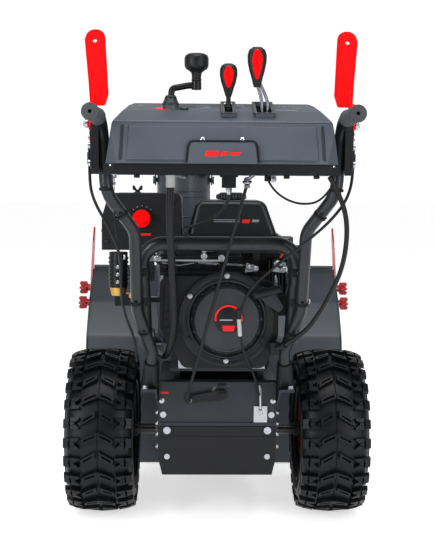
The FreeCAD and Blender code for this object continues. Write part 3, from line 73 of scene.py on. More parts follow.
def material(name, colour, roughness, metallic=0.0, grain=900, bump=0.3, mottle=0.12, rough_spread=0.1,
        coat=0.0, specular=0.5, stretch=(1.0, 1.0, 1.0), broad=9):
    """A procedural finish: broad colour drift, fine grain in bump, and uneven roughness."""
    mat = MATS[name] = bpy.data.materials.new(name)
    mat.use_nodes = True
    tree, link = mat.node_tree, mat.node_tree.links.new
    shader = tree.nodes["Principled BSDF"]
    for socket, value in (("Metallic", metallic), ("Specular IOR Level", specular), ("Coat Weight", coat),
            ("Coat Roughness", 0.12)):
        shader.inputs[socket].default_value = value
    where = add(tree, "TexCoord")
    scale = add(tree, "Mapping", Scale=stretch)
    link(where.outputs["Object"], scale.inputs["Vector"])
    drift = add(tree, "TexNoise", Scale=broad, Detail=6.0)
    fine = add(tree, "TexNoise", Scale=grain, Detail=3.0)
    link(where.outputs["Object"], drift.inputs["Vector"])
    link(scale.outputs["Vector"], fine.inputs["Vector"])
    tint = add(tree, "ValToRGB")
    shades = (0.3, 1 - mottle), (0.7, 1 + mottle)
    for stop, (position, shade) in zip(tint.color_ramp.elements, shades):
        stop.position = position
        stop.color = (*[min(1.0, c * shade) for c in colour], 1)
    link(drift.outputs["Fac"], tint.inputs["Fac"])
    link(tint.outputs["Color"], shader.inputs["Base Color"])
    spread = add(tree, "MapRange", To_Min=max(0.02, roughness - rough_spread), To_Max=min(1.0,
        roughness + rough_spread))
    half = add(tree, "Math")
    half.operation = "MULTIPLY"
    mixed = add(tree, "Math")
    mixed.operation = "MULTIPLY_ADD"
    half.inputs[1].default_value = mixed.inputs[1].default_value = 0.5
    link(drift.outputs["Fac"], half.inputs[0])
    link(fine.outputs["Fac"], mixed.inputs[0])
    link(half.outputs["Value"], mixed.inputs[2])
    link(mixed.outputs["Value"], spread.inputs["Value"])
    link(spread.outputs["Result"], shader.inputs["Roughness"])
    relief = add(tree, "Bump", Strength=bump, Distance=0.001)
    link(fine.outputs["Fac"], relief.inputs["Height"])
    link(relief.outputs["Normal"], shader.inputs["Normal"])
    return mat


def foam_material():
    """Closed-cell foam: speckled grey with small pits."""
    mat = material("foam", (0.052, 0.055, 0.060), 0.85, bump=0.5, mottle=0.2)
    tree, link = mat.node_tree, mat.node_tree.links.new
    cells = add(tree, "TexVoronoi", Scale=700.0)
    link(add(tree, "TexCoord").outputs["Object"], cells.inputs["Vector"])
    relief = add(tree, "Bump", Strength=0.35, Distance=0.0008)
    link(cells.outputs["Distance"], relief.inputs["Height"])
    link(relief.outputs["Normal"], tree.nodes["Principled BSDF"].inputs["Normal"])


def rim_material():
    """Red paint on the rim that gives way to black on the axle and its hub tube."""
    mat = material("rim_paint", (0.42, 0.008, 0.010), 0.35, grain=800, bump=0.08, coat=0.3)
    tree, link = mat.node_tree, mat.node_tree.links.new
    paint = tree.nodes["Principled BSDF"].inputs["Base Color"]
    red = paint.links[0].from_socket
    away = add(tree, "VectorMath")
    away.operation = "MULTIPLY_ADD"
    away.inputs[1].default_value = (0, 1, 1)
    away.inputs[2].default_value = (0, 0, -AXLE_HEIGHT * MM)
    link(add(tree, "TexCoord").outputs["Object"], away.inputs[0])
    reach = add(tree, "VectorMath")
    reach.operation = "LENGTH"
    link(away.outputs["Vector"], reach.inputs[0])
    edge = add(tree, "MapRange", From_Min=HUB_EDGE * MM, From_Max=(HUB_EDGE + 1) * MM)
    link(reach.outputs["Value"], edge.inputs["Value"])
    blend = add(tree, "Mix")
    blend.data_type = "RGBA"
    black_in, red_in = [socket for socket in blend.inputs if socket.type == "RGBA"]
    black_in.default_value = (0.006, 0.0065, 0.008, 1)
    link(edge.outputs["Result"], blend.inputs["Factor"])
    link(red, red_in)
    link([socket for socket in blend.outputs if socket.type == "RGBA"][0], paint)


material("case_paint", (0.019, 0.0235, 0.031), 0.40, bump=0.12, coat=0.1, specular=0.35)
material("housing_paint", (0.062, 0.071, 0.083), 0.42, bump=0.12, coat=0.1, specular=0.35)
# Black paint. On the belly cover it is painted shade.
material("black_paint_and_shade", (0.0055, 0.006, 0.0075), 0.36, bump=0.12, coat=0.08, specular=0.3)
material("tube_paint", (0.014, 0.017, 0.021), 0.34, grain=1200, bump=0.18, coat=0.1, specular=0.4)
material("red_paint", (0.36, 0.006, 0.008), 0.35, grain=800, bump=0.08, coat=0.3)
material("bright_red", (0.80, 0.0015, 0.003), 0.5, grain=600, bump=0.08, mottle=0.04, specular=0.08)
material("console_plastic", (0.066, 0.078, 0.096), 0.50, grain=1500, mottle=0.05, specular=0.4)
# The dark trim colour is also used as painted shade: the strips beside the dashboard panel.
material("console_trim_and_shade", (0.026, 0.030, 0.037), 0.42, grain=1500, mottle=0.06, specular=0.4)
material("black_plastic", (0.0062, 0.007, 0.0088), 0.42, grain=1300, mottle=0.1, specular=0.35)
material("tank_plastic", (0.0085, 0.010, 0.0125), 0.36, grain=1100, bump=0.2, mottle=0.1, specular=0.4)
material("recoil_plastic", (0.030, 0.035, 0.041), 0.42, grain=1400, mottle=0.06, specular=0.4)
material("chute_plastic", (0.050, 0.059, 0.071), 0.42, bump=0.12, mottle=0.08, coat=0.05, specular=0.4)
material("rubber", (0.006, 0.0065, 0.0075), 0.60, grain=600, mottle=0.2, specular=0.3)
material("tyre_rubber", (0.0042, 0.005, 0.0066), 0.40, grain=420, bump=0.35, mottle=0.3, rough_spread=0.14,
    specular=0.32, broad=26)
material("cable_sheath", (0.007, 0.0075, 0.009), 0.40, grain=800, bump=0.12, specular=0.3)
material("zinc", (0.40, 0.41, 0.44), 0.32, metallic=1.0, grain=300, bump=0.15, mottle=0.1)
material("steel", (0.42, 0.42, 0.43), 0.38, metallic=1.0, grain=260, bump=0.25, stretch=(1, 8, 1))
material("dark_steel", (0.10, 0.10, 0.105), 0.45, metallic=0.8, grain=260)
material("chrome", (0.52, 0.53, 0.57), 0.14, metallic=1.0, grain=200, bump=0.03, rough_spread=0.04)
material("lever_steel", (0.20, 0.20, 0.23), 0.30, metallic=1.0, grain=200, bump=0.02, mottle=0.05,
    rough_spread=0.04)
material("cast_alloy", (0.30, 0.30, 0.31), 0.55, metallic=0.7, grain=320, bump=0.6)
material("cast_black", (0.010, 0.011, 0.013), 0.55, grain=320, bump=0.6, mottle=0.2, specular=0.3)
material("brass", (0.48, 0.31, 0.09), 0.38, metallic=0.9, grain=260, bump=0.2)
material("heat_paint", (0.07, 0.07, 0.07), 0.6, metallic=0.4, grain=420, bump=0.4, mottle=0.25)
material("label_grey", (0.20, 0.22, 0.25), 0.45, bump=0.05, mottle=0.04)
material("label_red", (0.62, 0.008, 0.008), 0.42, bump=0.05, mottle=0.05)
material("white_plastic", (0.34, 0.35, 0.35), 0.45, bump=0.1, mottle=0.06)
material("orange_wire", (0.55, 0.05, 0.015), 0.40, bump=0.1)
foam_material()
rim_material()

NODES_BY_FINISH = {
    "case_paint": "transmission_case rear_cover engine_base",
    # belly_cover gets the black as painted shade: its sloping underside is dark only because it lies in
    # shade. The other parts on this line are black paint.
    "black_paint_and_shade": "belly_cover blower_shroud starter_motor shift_rod speed_arm chute_crank",
    "cast_alloy": "bearings crankshaft carburettor",
    "steel": "friction_disc hex_shaft chute_worm",
    "rubber": "friction_wheel drive_belts",
    "cast_black": "engine_block auger_gearbox",
    "recoil_plastic": "recoil_cover",
    "black_plastic": "recoil_handle fuel_cap intake_hood belt_cover console_tray joystick speed_lever "
                     "crank_knob handle_sleeves",
    "tank_plastic": "fuel_tank",
    "bright_red": "choke_knob left_clutch_lever right_clutch_lever",
    "heat_paint": "muffler",
    "rim_paint": "left_rim right_rim",
    "housing_paint": "auger_housing housing_sides impeller_drum",
    "dark_steel": "skid_shoes",
    "red_paint": "impeller auger right_drift_cutter left_drift_cutter right_upper_knob left_upper_knob "
                 "right_lower_knob left_lower_knob",
    "chute_plastic": "chute deflector",
    "zinc": "chute_bracket fasteners",
    "console_plastic": "console_shell",
    "tube_paint": "handlebars roll_bar",
    "foam": "handle_grips",
}


def dress_cad_nodes():
    """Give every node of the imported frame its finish."""
    for finish, nodes in NODES_BY_FINISH.items():
        for node in nodes.split():
            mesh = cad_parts[node].data
            mesh.materials.clear()
            mesh.materials.append(MATS[finish])


# ---- mesh building ----
def basis(axis):
    """Two directions square to an axis."""
    axis = Vector(axis).normalized()
    side = axis.orthogonal().normalized()
    return axis, side, axis.cross(side)


def new_object(name, data):
    """An object in the scene that holds this mesh, curve, camera or lamp."""
    piece = bpy.data.objects.new(name, data)
    bpy.context.scene.collection.objects.link(piece)
    return piece


def hang(piece, body, replaced):
    """Tie a piece to its body, and hide the CAD nodes that it stands for."""
    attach(piece, body)
    if replaced:
        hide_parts(*replaced)


class Shape:
    """Collects closed solids, in millimetres, and turns them into one object in metres."""

    def __init__(self):
        self.bm = bmesh.new()

    def lathe(self, origin, axis, profile, sides=40):
        """Turn (along, radius) points about an axis; a radius of 0 closes an end."""
        axis, side, up = basis(axis)
        rings = []
        for along, radius in profile:
            centre = Vector(origin) + axis * along
            if radius == 0:
                rings.append([self.bm.verts.new(centre)])
                continue
            ring = []
            for i in range(sides):
                angle = 2 * pi * i / sides
                ring.append(self.bm.verts.new(centre + (side * cos(angle) + up * sin(angle)) * radius))
            rings.append(ring)
        for low, high in zip(rings, rings[1:]):
            for i in range(sides):
                j = (i + 1) % sides
                corners = [low[i % len(low)], low[j % len(low)], high[j % len(high)], high[i % len(high)]]
                unique = list(dict.fromkeys(corners))
                if len(unique) > 2:
                    self.bm.faces.new(unique)
        return self

    def rod(self, start, end, radius, radius_end=None, sides=28, chamfer=0.0):
        """A capped round bar or cone with optional chamfered ends."""
        start, end = Vector(start), Vector(end)
        length = (end - start).length
        last = radius if radius_end is None else radius_end
        side = [(0, radius), (length, last)]
        if chamfer:
            side = [(0, radius - chamfer), (chamfer, radius), (length - chamfer, last),
                (length, last - chamfer)]
        return self.lathe(start, end - start, [(0, 0), *side, (length, 0)], sides)

    def prism(self, corners, along, taper=1.0):
        """Extrude a flat outline of 3-D corners along a vector; taper scales the far face."""
        along = Vector(along)
        near = [Vector(c) for c in corners]
        middle = sum(near, Vector()) / len(near)
        far = [middle + (c - middle) * taper + along for c in near]
        low = [self.bm.verts.new(c) for c in near]
        high = [self.bm.verts.new(c) for c in far]
        self.bm.faces.new(list(reversed(low)))
        self.bm.faces.new(high)
        for i in range(len(low)):
            j = (i + 1) % len(low)
            self.bm.faces.new([low[i], low[j], high[j], high[i]])
        return self

    def plate(self, y, corners, thick, taper=1.0):
        """Extrude an (x, z) outline along Y, from a given depth."""
        return self.prism([(x, y, z) for x, z in corners], (0, thick, 0), taper)

    def box(self, low, high):
        """A block between two opposite corners."""
        (x0, y0, z0), (x1, y1, z1) = low, high
        return self.prism([(x0, y0, z0), (x1, y0, z0), (x1, y1, z0), (x0, y1, z0)], (0, 0, z1 - z0))

    def hexagon(self, seat, out, across, height, washer=0.0):
        """A hexagonal bolt head with a domed chamfer and, if asked, a flanged washer."""
        out, side, up = basis(out)
        seat = Vector(seat)
        lift = 0.0
        if washer:
            self.lathe(seat, out, [
                (0, 0), (0, washer), (1.1, washer * 0.96), (1.6, washer * 0.8), (1.6, 0)], 28)
            lift = 1.4
        radius = across / sqrt(3)
        ring = []
        for i in range(6):
            angle = pi * i / 3
            ring.append(seat + out * lift + (side * cos(angle) + up * sin(angle)) * radius)
        self.prism(ring, out * (height * 0.8))
        self.lathe(seat + out * (lift + height * 0.8), out, [(0, 0), (0, radius * 0.96), (height * 0.2,
            radius * 0.74), (height * 0.2, 0)], 24)
        return self

    def loft(self, sections):
        """Skin a row of rings with equal point counts and close both ends."""
        rings = [[self.bm.verts.new(p) for p in ring] for ring in sections]
        for low, high in zip(rings, rings[1:]):
            for i in range(len(low)):
                j = (i + 1) % len(low)
                self.bm.faces.new([low[i], low[j], high[j], high[i]])
        self.bm.faces.new(list(reversed(rings[0])))
        self.bm.faces.new(rings[-1])
        return self

    def tube(self, points, radius, sides=10):
        """Sweep a round section along a line of points."""
        line = [Vector(p) for p in points]
        side = (line[1] - line[0]).orthogonal().normalized()
        sections = []
        for i, place in enumerate(line):
            ahead = (line[min(i + 1, len(line) - 1)] - line[max(i - 1, 0)]).normalized()
            side = (side - ahead * side.dot(ahead)).normalized()
            up = ahead.cross(side)
            angles = [2 * pi * k / sides for k in range(sides)]
            sections.append([place + (side * cos(angle) + up * sin(angle)) * radius for angle in angles])
        return self.loft(sections)

    def spring(self, start, end, radius, wire, turns):
        """A coil spring with straight hooked ends."""
        start, end = Vector(start), Vector(end)
        side, up = basis(end - start)[1:]
        line = [start]
        steps = turns * 14
        for i in range(steps + 1):
            angle = 2 * pi * i / 14
            along = 0.12 + 0.76 * i / steps
            line.append(start + (end - start) * along + (side * cos(angle) + up * sin(angle)) * radius)
        line.append(end)
        return self.tube(line, wire, 8)

    def done(self, name, finish, body="chassis", bevel=0.0, angle=40.0, replaced=()):
        """Finish the mesh, shade it by angle, and hang it on a body."""
        bmesh.ops.recalc_face_normals(self.bm, faces=self.bm.faces)
        bmesh.ops.scale(self.bm, vec=(MM, MM, MM), verts=self.bm.verts)
        limit = radians(angle)
        for face in self.bm.faces:
            face.smooth = True
        for edge in self.bm.edges:
            edge.smooth = len(edge.link_faces) == 2 and edge.calc_face_angle(0) < limit
        mesh = bpy.data.meshes.new(name)
        self.bm.to_mesh(mesh)
        self.bm.free()
        piece = new_object(name, mesh)
        mesh.materials.append(MATS[finish])
        if bevel:
            edge_round = piece.modifiers.new("edges", "BEVEL")
            edge_round.width = bevel * MM
            edge_round.segments = 2
            edge_round.limit_method = "ANGLE"
            edge_round.angle_limit = radians(35)
            edge_round.harden_normals = True
        hang(piece, body, replaced)


def cord_curve(name, points, radius, replaced=()):
    """A held cable: a smooth tube on a NURBS line with the route's points as control points."""
    curve = bpy.data.curves.new(name, "CURVE")
    curve.dimensions = "3D"
    curve.bevel_depth = radius * MM
    curve.bevel_resolution = 5
    curve.use_fill_caps = True
    spline = curve.splines.new("NURBS")
    spline.points.add(len(points) - 1)
    for point, place in zip(spline.points, points):
        point.co = (*[c * MM for c in place], 1.0)
    spline.order_u = 3
    spline.use_endpoint_u = True
    spline.resolution_u = 10
    curve.materials.append(MATS["cable_sheath"])
    piece = new_object(name, curve)
    hang(piece, "chassis", replaced)


# ---- wheels ----
TREAD_ROWS = 26
SPLIT_BARS = [
    [(5, -17.5), (38, 2.5), (38, 7.5), (5, -12)], [(5, -8), (38, 12.5), (38, 17.5), (5, -2.5)],
    [(5, -12), (11, -8.6), (11, -4.4), (5, -8)], [(32, 3.9), (38, 7.5), (38, 12.5), (32, 8.9)]]
CHEVRON_BARS = [
    [(0.3, -16), (20, -8), (37, 2), (37, 6.5), (20, -2.6), (0.3, -10)],
    [(0.3, -5.5), (20, 2), (37, 12), (37, 17), (20, 7.5), (0.3, 0.5)],
    [(0.3, -10), (6, -7.6), (6, -3.4), (0.3, -5.5)], [(31, 3), (37, 6.5), (37, 12), (31, 8.6)]]
SHOULDER_BLOCKS = [
    [(43, 14), (63, 14), (63, 6), (51, 3), (43, 9)], [(43, -14), (63, -14), (63, -6), (51, -3), (43, -9)],
    [(53, 2.5), (63, 5.5), (63, -5.5), (53, -2.5)], [(64.5, 13), (80, 11), (80, -11), (64.5, -13), (68, 0)]]


def crown(offset):
    """Radius of the lug tops at a distance from the tyre's centre line."""
    return 202.6 - 2.6 * min(1.0, abs(offset) / 40) - 11.0 * max(0.0, (abs(offset) - 42) / 40) ** 1.6


def tyre_point(centre_x, offset, angle, radius):
    """A point on the tyre; angle 0 is the top, and it grows toward the rear."""
    return (centre_x + offset, -radius * sin(angle), AXLE_HEIGHT + radius * cos(angle))


def lug(shape, centre_x, outline, turn, depth=12.0):
    """A tread block: an outline of (offset across, advance around) wrapped on the tyre."""
    top, foot = [], []
    middle = (sum(p[0] for p in outline) / len(outline), sum(p[1] for p in outline) / len(outline))
    for offset, advance in outline:
        top.append(shape.bm.verts.new(tyre_point(centre_x, offset, turn + advance / 200, crown(offset))))
        wide = middle[0] + (offset - middle[0]) * 1.10
        ahead = middle[1] + (advance - middle[1]) * 1.10
        foot.append(shape.bm.verts.new(tyre_point(centre_x, wide, turn + ahead / 200, crown(wide) - depth)))
    shape.bm.faces.new(top)
    shape.bm.faces.new(list(reversed(foot)))
    for i in range(len(top)):
        j = (i + 1) % len(top)
        shape.bm.faces.new([foot[i], foot[j], top[j], top[i]])


def tread(shape, centre_x):
    """Alternating rows of split blocks and joined chevrons with slots, and stepped shoulder blocks."""
    for row in range(TREAD_ROWS):
        turn = 2 * pi * row / TREAD_ROWS
        for side in SIDES:
            for bar in SPLIT_BARS if row % 2 else CHEVRON_BARS:
                lug(shape, centre_x, [(side * x, y) for x, y in bar], turn)
            for block in SHOULDER_BLOCKS:
                lug(shape, centre_x, [(side * x, y) for x, y in block], turn + 0.5 * pi / TREAD_ROWS)


def wheel(side_name, side):
    """A snow tyre with rounded carcass, tread, beads and sidewall ribs, and its wheel's bolts and valve."""
    body, slot = side_name + "_wheel", side_name + "_tyre"
    centre_x = side * WHEEL_TRACK / 2
    hub_point = (centre_x, 0, AXLE_HEIGHT)
    carcass = Shape()
    half = [(0, 191.5), (30, 190.5), (56, 186), (70, 178), (78, 166), (81, 150), (80, 132), (74, 118),
            (66, 109), (60, 104.5), (56, 101.6)]
    profile = [(-x, r) for x, r in reversed(half)] + half[1:] + [(50, 101.6), (-50, 101.6)]
    carcass.lathe(hub_point, (1, 0, 0), profile + [profile[0]], 144)
    bmesh.ops.remove_doubles(carcass.bm, verts=carcass.bm.verts, dist=0.01)
    carcass.done(side_name + "_carcass", "tyre_rubber", body, replaced=(slot,))
    blocks = Shape()
    tread(blocks, centre_x)
    rib = [(-0.6, 190), (-0.3, 193), (0.3, 193), (0.6, 190), (-0.6, 190)]
    for wide in (-0.8, 0.8):
        blocks.lathe((centre_x + wide, 0, AXLE_HEIGHT), (1, 0, 0), rib, 144)
    blocks.done(side_name + "_tread", "tyre_rubber", body, bevel=0.9)
    walls = Shape()
    for face in SIDES:
        for radius, reach in ((112, 70.5), (124, 78.0), (160, 79.5)):
            low, high = face * (reach - 3), face * (reach + 1.6)
            bead = [(low, radius - 2.5), (high, radius - 1), (high, radius + 1), (low, radius + 2.5),
                    (low, radius - 2.5)]
            walls.lathe(hub_point, (1, 0, 0), bead, 96)
        for i in range(72):
            turn = 2 * pi * i / 72
            inner = tyre_point(centre_x, face * 79.6, turn, 128)
            outer = tyre_point(centre_x, face * 80.6, turn, 150)
            walls.rod(inner, outer, 1.6, 1.2, sides=8)
    walls.done(side_name + "_sidewall_ribs", "tyre_rubber", body, bevel=0.3)
    hub = Shape()
    for i in range(4):
        turn = pi / 4 + pi * i / 2
        seat = (centre_x + side * 10, 62 * cos(turn), AXLE_HEIGHT + 62 * sin(turn))
        hub.hexagon(seat, (side, 0, 0), 13, 6, washer=9)
    valve = (centre_x + side * 16, -70, AXLE_HEIGHT + 30)
    hub.rod(valve, (valve[0] + side * 24, valve[1] - 6, valve[2] + 3), 3.4, 3.0, sides=16, chamfer=0.6)
    hub.done(side_name + "_wheel_hardware", "zinc", body, bevel=0.4)


# ---- controls ----
def oval(x, y, z, wide, deep, count=32, power=2.6):
    """A level ring of points shaped between an ellipse and a rounded box."""
    ring = []
    for i in range(count):
        c, s = cos(2 * pi * i / count), sin(2 * pi * i / count)
        ring.append((x + wide * copysign(abs(c) ** (2 / power), c),
            y + deep * copysign(abs(s) ** (2 / power), s), z))
    return ring


def egg(x, y, low, high, wide, narrow, count=36):
    """An upright egg outline facing the operator, broad at the top."""
    ring = []
    for i in range(count):
        angle = 2 * pi * i / count
        along = 0.5 + 0.5 * sin(angle)
        half = narrow + (wide - narrow) * along ** 0.8
        ring.append((x + half * cos(angle), y, low + (high - low) * along))
    return ring


def moulded_grip(name, lever, x, y, sections, face):
    """A two-part lever grip: dark core and a bright raised face toward the operator."""
    grip = Shape()
    grip.loft([oval(x + lean, y, z, wide, deep) for z, wide, deep, lean in sections])
    grip.done(name, "black_plastic", lever, angle=50, replaced=(lever,))
    low, high, wide, narrow, depth = face
    inlay = Shape()
    inlay.loft([egg(x, y - depth + 3, low, high, wide, narrow), egg(x, y - depth, low + 0.5, high - 0.5,
        wide - 0.5, narrow - 0.5), egg(x, y - depth - 1.6, low + 3, high - 3, wide - 3, narrow - 2.4)])
    inlay.done(name + "_face", "bright_red", lever, angle=50, replaced=(lever,))


def joystick():
    """Stick on its cross pivot, with a short bellows and a moulded grip."""
    x, y, pivot = STICK_X, STICK_Y, PIVOT_HEIGHT["joystick"]
    core = Shape()
    core.rod((x - 12, y, pivot), (x + 12, y, pivot), 9, chamfer=1)
    core.rod((x, y, pivot + 4), (x, y, pivot + 104), 5, 4.6)
    core.lathe((x, y, pivot + 68), UP, [(0, 0), (0, 7.4), (4, 7.4), (5, 6), (8, 6.9), (10, 5.6), (13, 6.3),
        (15, 5.2), (19, 5.6), (20, 0)], 32)
    core.done("joystick_stem", "black_plastic", "joystick", replaced=("joystick",))
    moulded_grip("joystick_grip", "joystick", x, y, [(996, 5.4, 5.4, 0), (1002, 7.5, 7, 0), (1012, 10.5, 9,
        0), (1026, 15.2, 11, 0), (1040, 18, 12, 0), (1052, 17.6, 12, 0), (1059, 14, 10, 0), (1062.5, 8, 6,
        0)], (1012, 1057, 12.6, 6.0, 11.2))


def speed_lever():
    """Twin plated rods under a tall grip, with an arm to the ball of the shift rod."""
    x, y, pivot = LEVER_X, LEVER_Y, PIVOT_HEIGHT["speed_lever"]
    rods = Shape()
    for side in (-6, 6):
        rods.tube([(x + side, y, pivot), (x + side, y + 4, 950), (x + side, y + 6, 985), (x - 4 + side * 0.8,
            y + 6.4, 1000), (x - 16 + side * 0.5, y + 7, 1030)], 3.4, 16)
    rods.done("speed_rods", "lever_steel", "speed_lever", replaced=("speed_lever",))
    core = Shape()
    core.rod((x - 12, y, pivot), (x + 12, y, pivot), 10, chamfer=1)
    core.tube([
        (x - 2, y, pivot), (x - 5, y + 17, 865), (x - 8, -402, 850), (x - 18, -384, 840), SHIFT_BALL], 4, 16)
    ball = 7.1
    turns = [pi * i / 12 for i in range(1, 12)]
    core.lathe((SHIFT_BALL[0], SHIFT_BALL[1], SHIFT_BALL[2] - ball), UP,
        [(ball - ball * cos(turn), ball * sin(turn)) for turn in turns], 28)
    core.done("speed_lever_arm", "zinc", "speed_lever", replaced=("speed_lever",))
    moulded_grip("speed_grip", "speed_lever", x - 16.5, y + 7, [(1016, 6.5, 6, 0.5), (1022, 8.5, 8, 0.4),
        (1034, 11.5, 9.6, 0.3), (1050, 16, 11.4, 0.1), (1066, 19.2, 12, 0), (1080, 19.6, 12, 0),
        (1090, 16.5, 10.6, 0), (1096, 9, 6.5, 0)], (1029, 1091, 13.4, 6.0, 11.2))


def crank_handle():
    """Flat-topped knob with a moulded neck on the cranked handle."""
    profile = [(0, 4.1), (0, 9.4), (1, 10.2), (4, 10.2), (5, 9.2), (16, 10.4), (20, 14.5), (24, 21),
               (29, 24), (34, 24.5), (46, 24.5), (51, 22.5), (54.5, 17), (55.5, 9), (55.5, 0)]
    knob = Shape()
    knob.lathe((CRANK_X + 52, CRANK_Y, 1027), UP, profile, 56)
    knob.done("crank_grip", "black_plastic", "crank_knob", angle=50, replaced=("crank_knob",))


def face_y(z):
    """Depth of the dashboard's rear face at a height."""
    return -520 + (z - 859) * 20 / 84


def top_z(y):
    """Height of the dashboard's top at a depth."""
    return 966 + (y + 452) * 21 / 72


def on_top(shape, outline, lift=0.0, thick=0.8):
    """Lay a thin plate with an (x, y) outline on the dashboard's sloping top."""
    shape.prism([(x, y, top_z(y) - 0.4 + lift) for x, y in outline], (0, -0.28 * thick, 0.96 * (thick + 0.4)))


def ring_outline(x, y, wide, deep, count=28):
    """An ellipse of (x, y) points."""
    return [(x + wide * cos(2 * pi * i / count), y + deep * sin(2 * pi * i / count)) for i in range(count)]


def dashboard():
    """Raised panel with dark side strips of painted shade, bezels, badge bars, scale marks and screws of the
    console.
    """
    panel = Shape()
    corners = [(-190, 866), (190, 866), (186, 933), (-186, 933)]
    panel.prism([(x, face_y(z) + 1, z) for x, z in corners], (0, -3.6, -0.6), taper=0.985)
    panel.done("dash_panel", "console_plastic", bevel=1.2)
    trim = Shape()
    # Dark strips beside the raised panel are painted shade. They stand for the shaded step between the panel
    # and the console's outer facets.
    for side in SIDES:
        shade_strip = [(side * 203, 866), (side * 196, 866), (side * 193, 935), (side * 199, 935)]
        trim.prism([(x, face_y(z) + 1.2, z) for x, z in shade_strip], (0, -2.0, 0))
    frame_line = [(-72, 862), (-69.5, 892), (-66, 901), (-60, 904.5), (60, 904.5), (66, 901), (69.5, 892),
        (72, 862)]
    outer = [(x, face_y(z) - 4.4, z) for x, z in frame_line]
    trim.tube(outer, 1.7, 8)
    for x, wide in ((STICK_X, 11), (LEVER_X - 3, 17)):
        far = wide + 4.5
        for a in SIDES:
            near, away = x + a * wide, x + a * far
            on_top(trim, [(near, -482), (away, -482), (away, -387), (near, -387)], lift=3.3, thick=1.4)
        for rear, front in ((-488, -482), (-387, -382)):
            corners = [(x - far, rear), (x + far, rear), (x + far, front), (x - far, front)]
            on_top(trim, corners, lift=3.3, thick=1.4)
    trim.lathe((-77, -438, top_z(-438) - 1), (0, -0.28, 0.96), [
        (0, 0), (0, 9), (4, 9), (5.5, 7.5), (5.5, 0)], 28)
    trim.lathe((CRANK_X, CRANK_Y, 979), UP, [
        (0, 0), (0, 17.5), (3, 17.2), (8, 14), (9, 14.2), (14, 11.4), (16, 11.6), (19, 10), (19, 0)], 36)
    trim.done("dash_trim_and_shade_strips", "console_trim_and_shade", bevel=0.4)
    badge = Shape()
    for lean, (x0, x1) in enumerate(((-34, -8), (-4, 10), (14, 34))):
        low, high = 873 + lean, 884 - lean
        corners = (x0 - 2, low), (x1 - 2, low), (x1 + 2, high), (x0 + 2, high)
        badge.plate(-531.6, corners, 1.2)
    badge.done("dash_badge", "label_red", bevel=0.3)
    marks = Shape()
    for row in range(4):
        left, right, low = -52, -20 - 5 * (row % 2), -436 + 9 * row
        on_top(marks, [(left, low), (right, low), (right, low + 2.5), (left, low + 2.5)])
    for i in range(9):
        angle = pi * (0.1 + 0.1 * i)
        x, y = 128 + 30 * cos(angle), -428 + 14 * sin(angle)
        on_top(marks, [(x - 2.4, y - 2), (x + 2.4, y - 2), (x + 1.6, y + 2), (x - 1.6, y + 2)])
    for x in (-188, -166, 34, 42):
        on_top(marks, [(x - 3, -410), (x + 3, -410), (x + 3, -404), (x - 3, -404)])
    on_top(marks, [(104, -446), (152, -446), (152, -442), (104, -442)])
    marks.done("dash_marks", "label_grey")
    dial = Shape()
    on_top(dial, ring_outline(-112, -432, 24, 15), thick=0.5)
    dial.done("crank_dial", "label_red")
    screws = Shape()
    for side in SIDES:
        screws.lathe((side * 39, face_y(906) - 2.4, 906), (0, -1, 0.2), [
            (0, 0), (0, 5.2), (1.6, 4.8), (2.8, 3), (3.1, 0)], 24)
        screws.lathe((side * 218, face_y(875) + 14, 856), (0, -0.2, -1), [
            (0, 0), (0, 5), (3, 4.4), (3, 0)], 20)
    screws.done("dash_screws", "chrome")


def under_dashboard():
    """Cable anchors, ball joint hardware and clips below the tray."""
    dark = Shape()
    dark.box((1, -432, 812), (30, -408, 838.2))
    dark.box((-3, -436, 834), (34, -404, 838.4))
    dark.rod((96, -414, 826), (96, -414, 838), 7, chamfer=1)
    dark.rod((CRANK_X, CRANK_Y, 846), (CRANK_X, CRANK_Y, 837), 17, 14, chamfer=1)
    for x in (-170, -40, 130, 190):
        dark.rod((x, -470, 831), (x, -470, 838), 6, chamfer=1)
    dark.done("tray_anchors", "black_plastic", bevel=1.0)
    bright = Shape()
    bright.rod((15, -420, 798), (15, -420, 813), 4.2, chamfer=0.8)
    bright.hexagon((15, -420, 812), DOWN, 11, 5)
    bright.box((104, -424, 824), (112, -404, 838))
    bright.hexagon((108, -425, 830), REARWARD, 8, 4, washer=5.5)
    bright.rod((-220, -441, 838), (-220.5, -441, 806), 3.6, chamfer=0.6)
    bright.hexagon((-220, -441, 838), DOWN, 13, 6, washer=9)
    bright.hexagon((-220.2, -441, 822), DOWN, 10, 5)
    bright.spring((-96, -414, 838), (-70, -414, 832), 3.4, 0.8, 7)
    bright.done("tray_hardware", "zinc", bevel=0.3)
    joint = Shape()
    joint.hexagon((*SHIFT_BALL[:2], 817.8), DOWN, 12, 6)
    joint.lathe(SHIFT_BALL, DOWN, [(4.6, 8.6), (4.6, 9.9), (7.5, 8.4), (7.5, 6.8), (4.6, 8.6)], 30)
    joint.done("shift_cup_nut", "zinc", "shift_rod", bevel=0.3)
    sleeve = Shape()
    sleeve.lathe((CRANK_X, CRANK_Y, 850), DOWN, [(0, 0), (0, 10.4), (16, 10.4), (17, 9.6), (34, 9.9),
        (38, 8.9), (38, 0)], 36)
    sleeve.done("crank_sleeve", "white_plastic", replaced=("crank_sheath",))


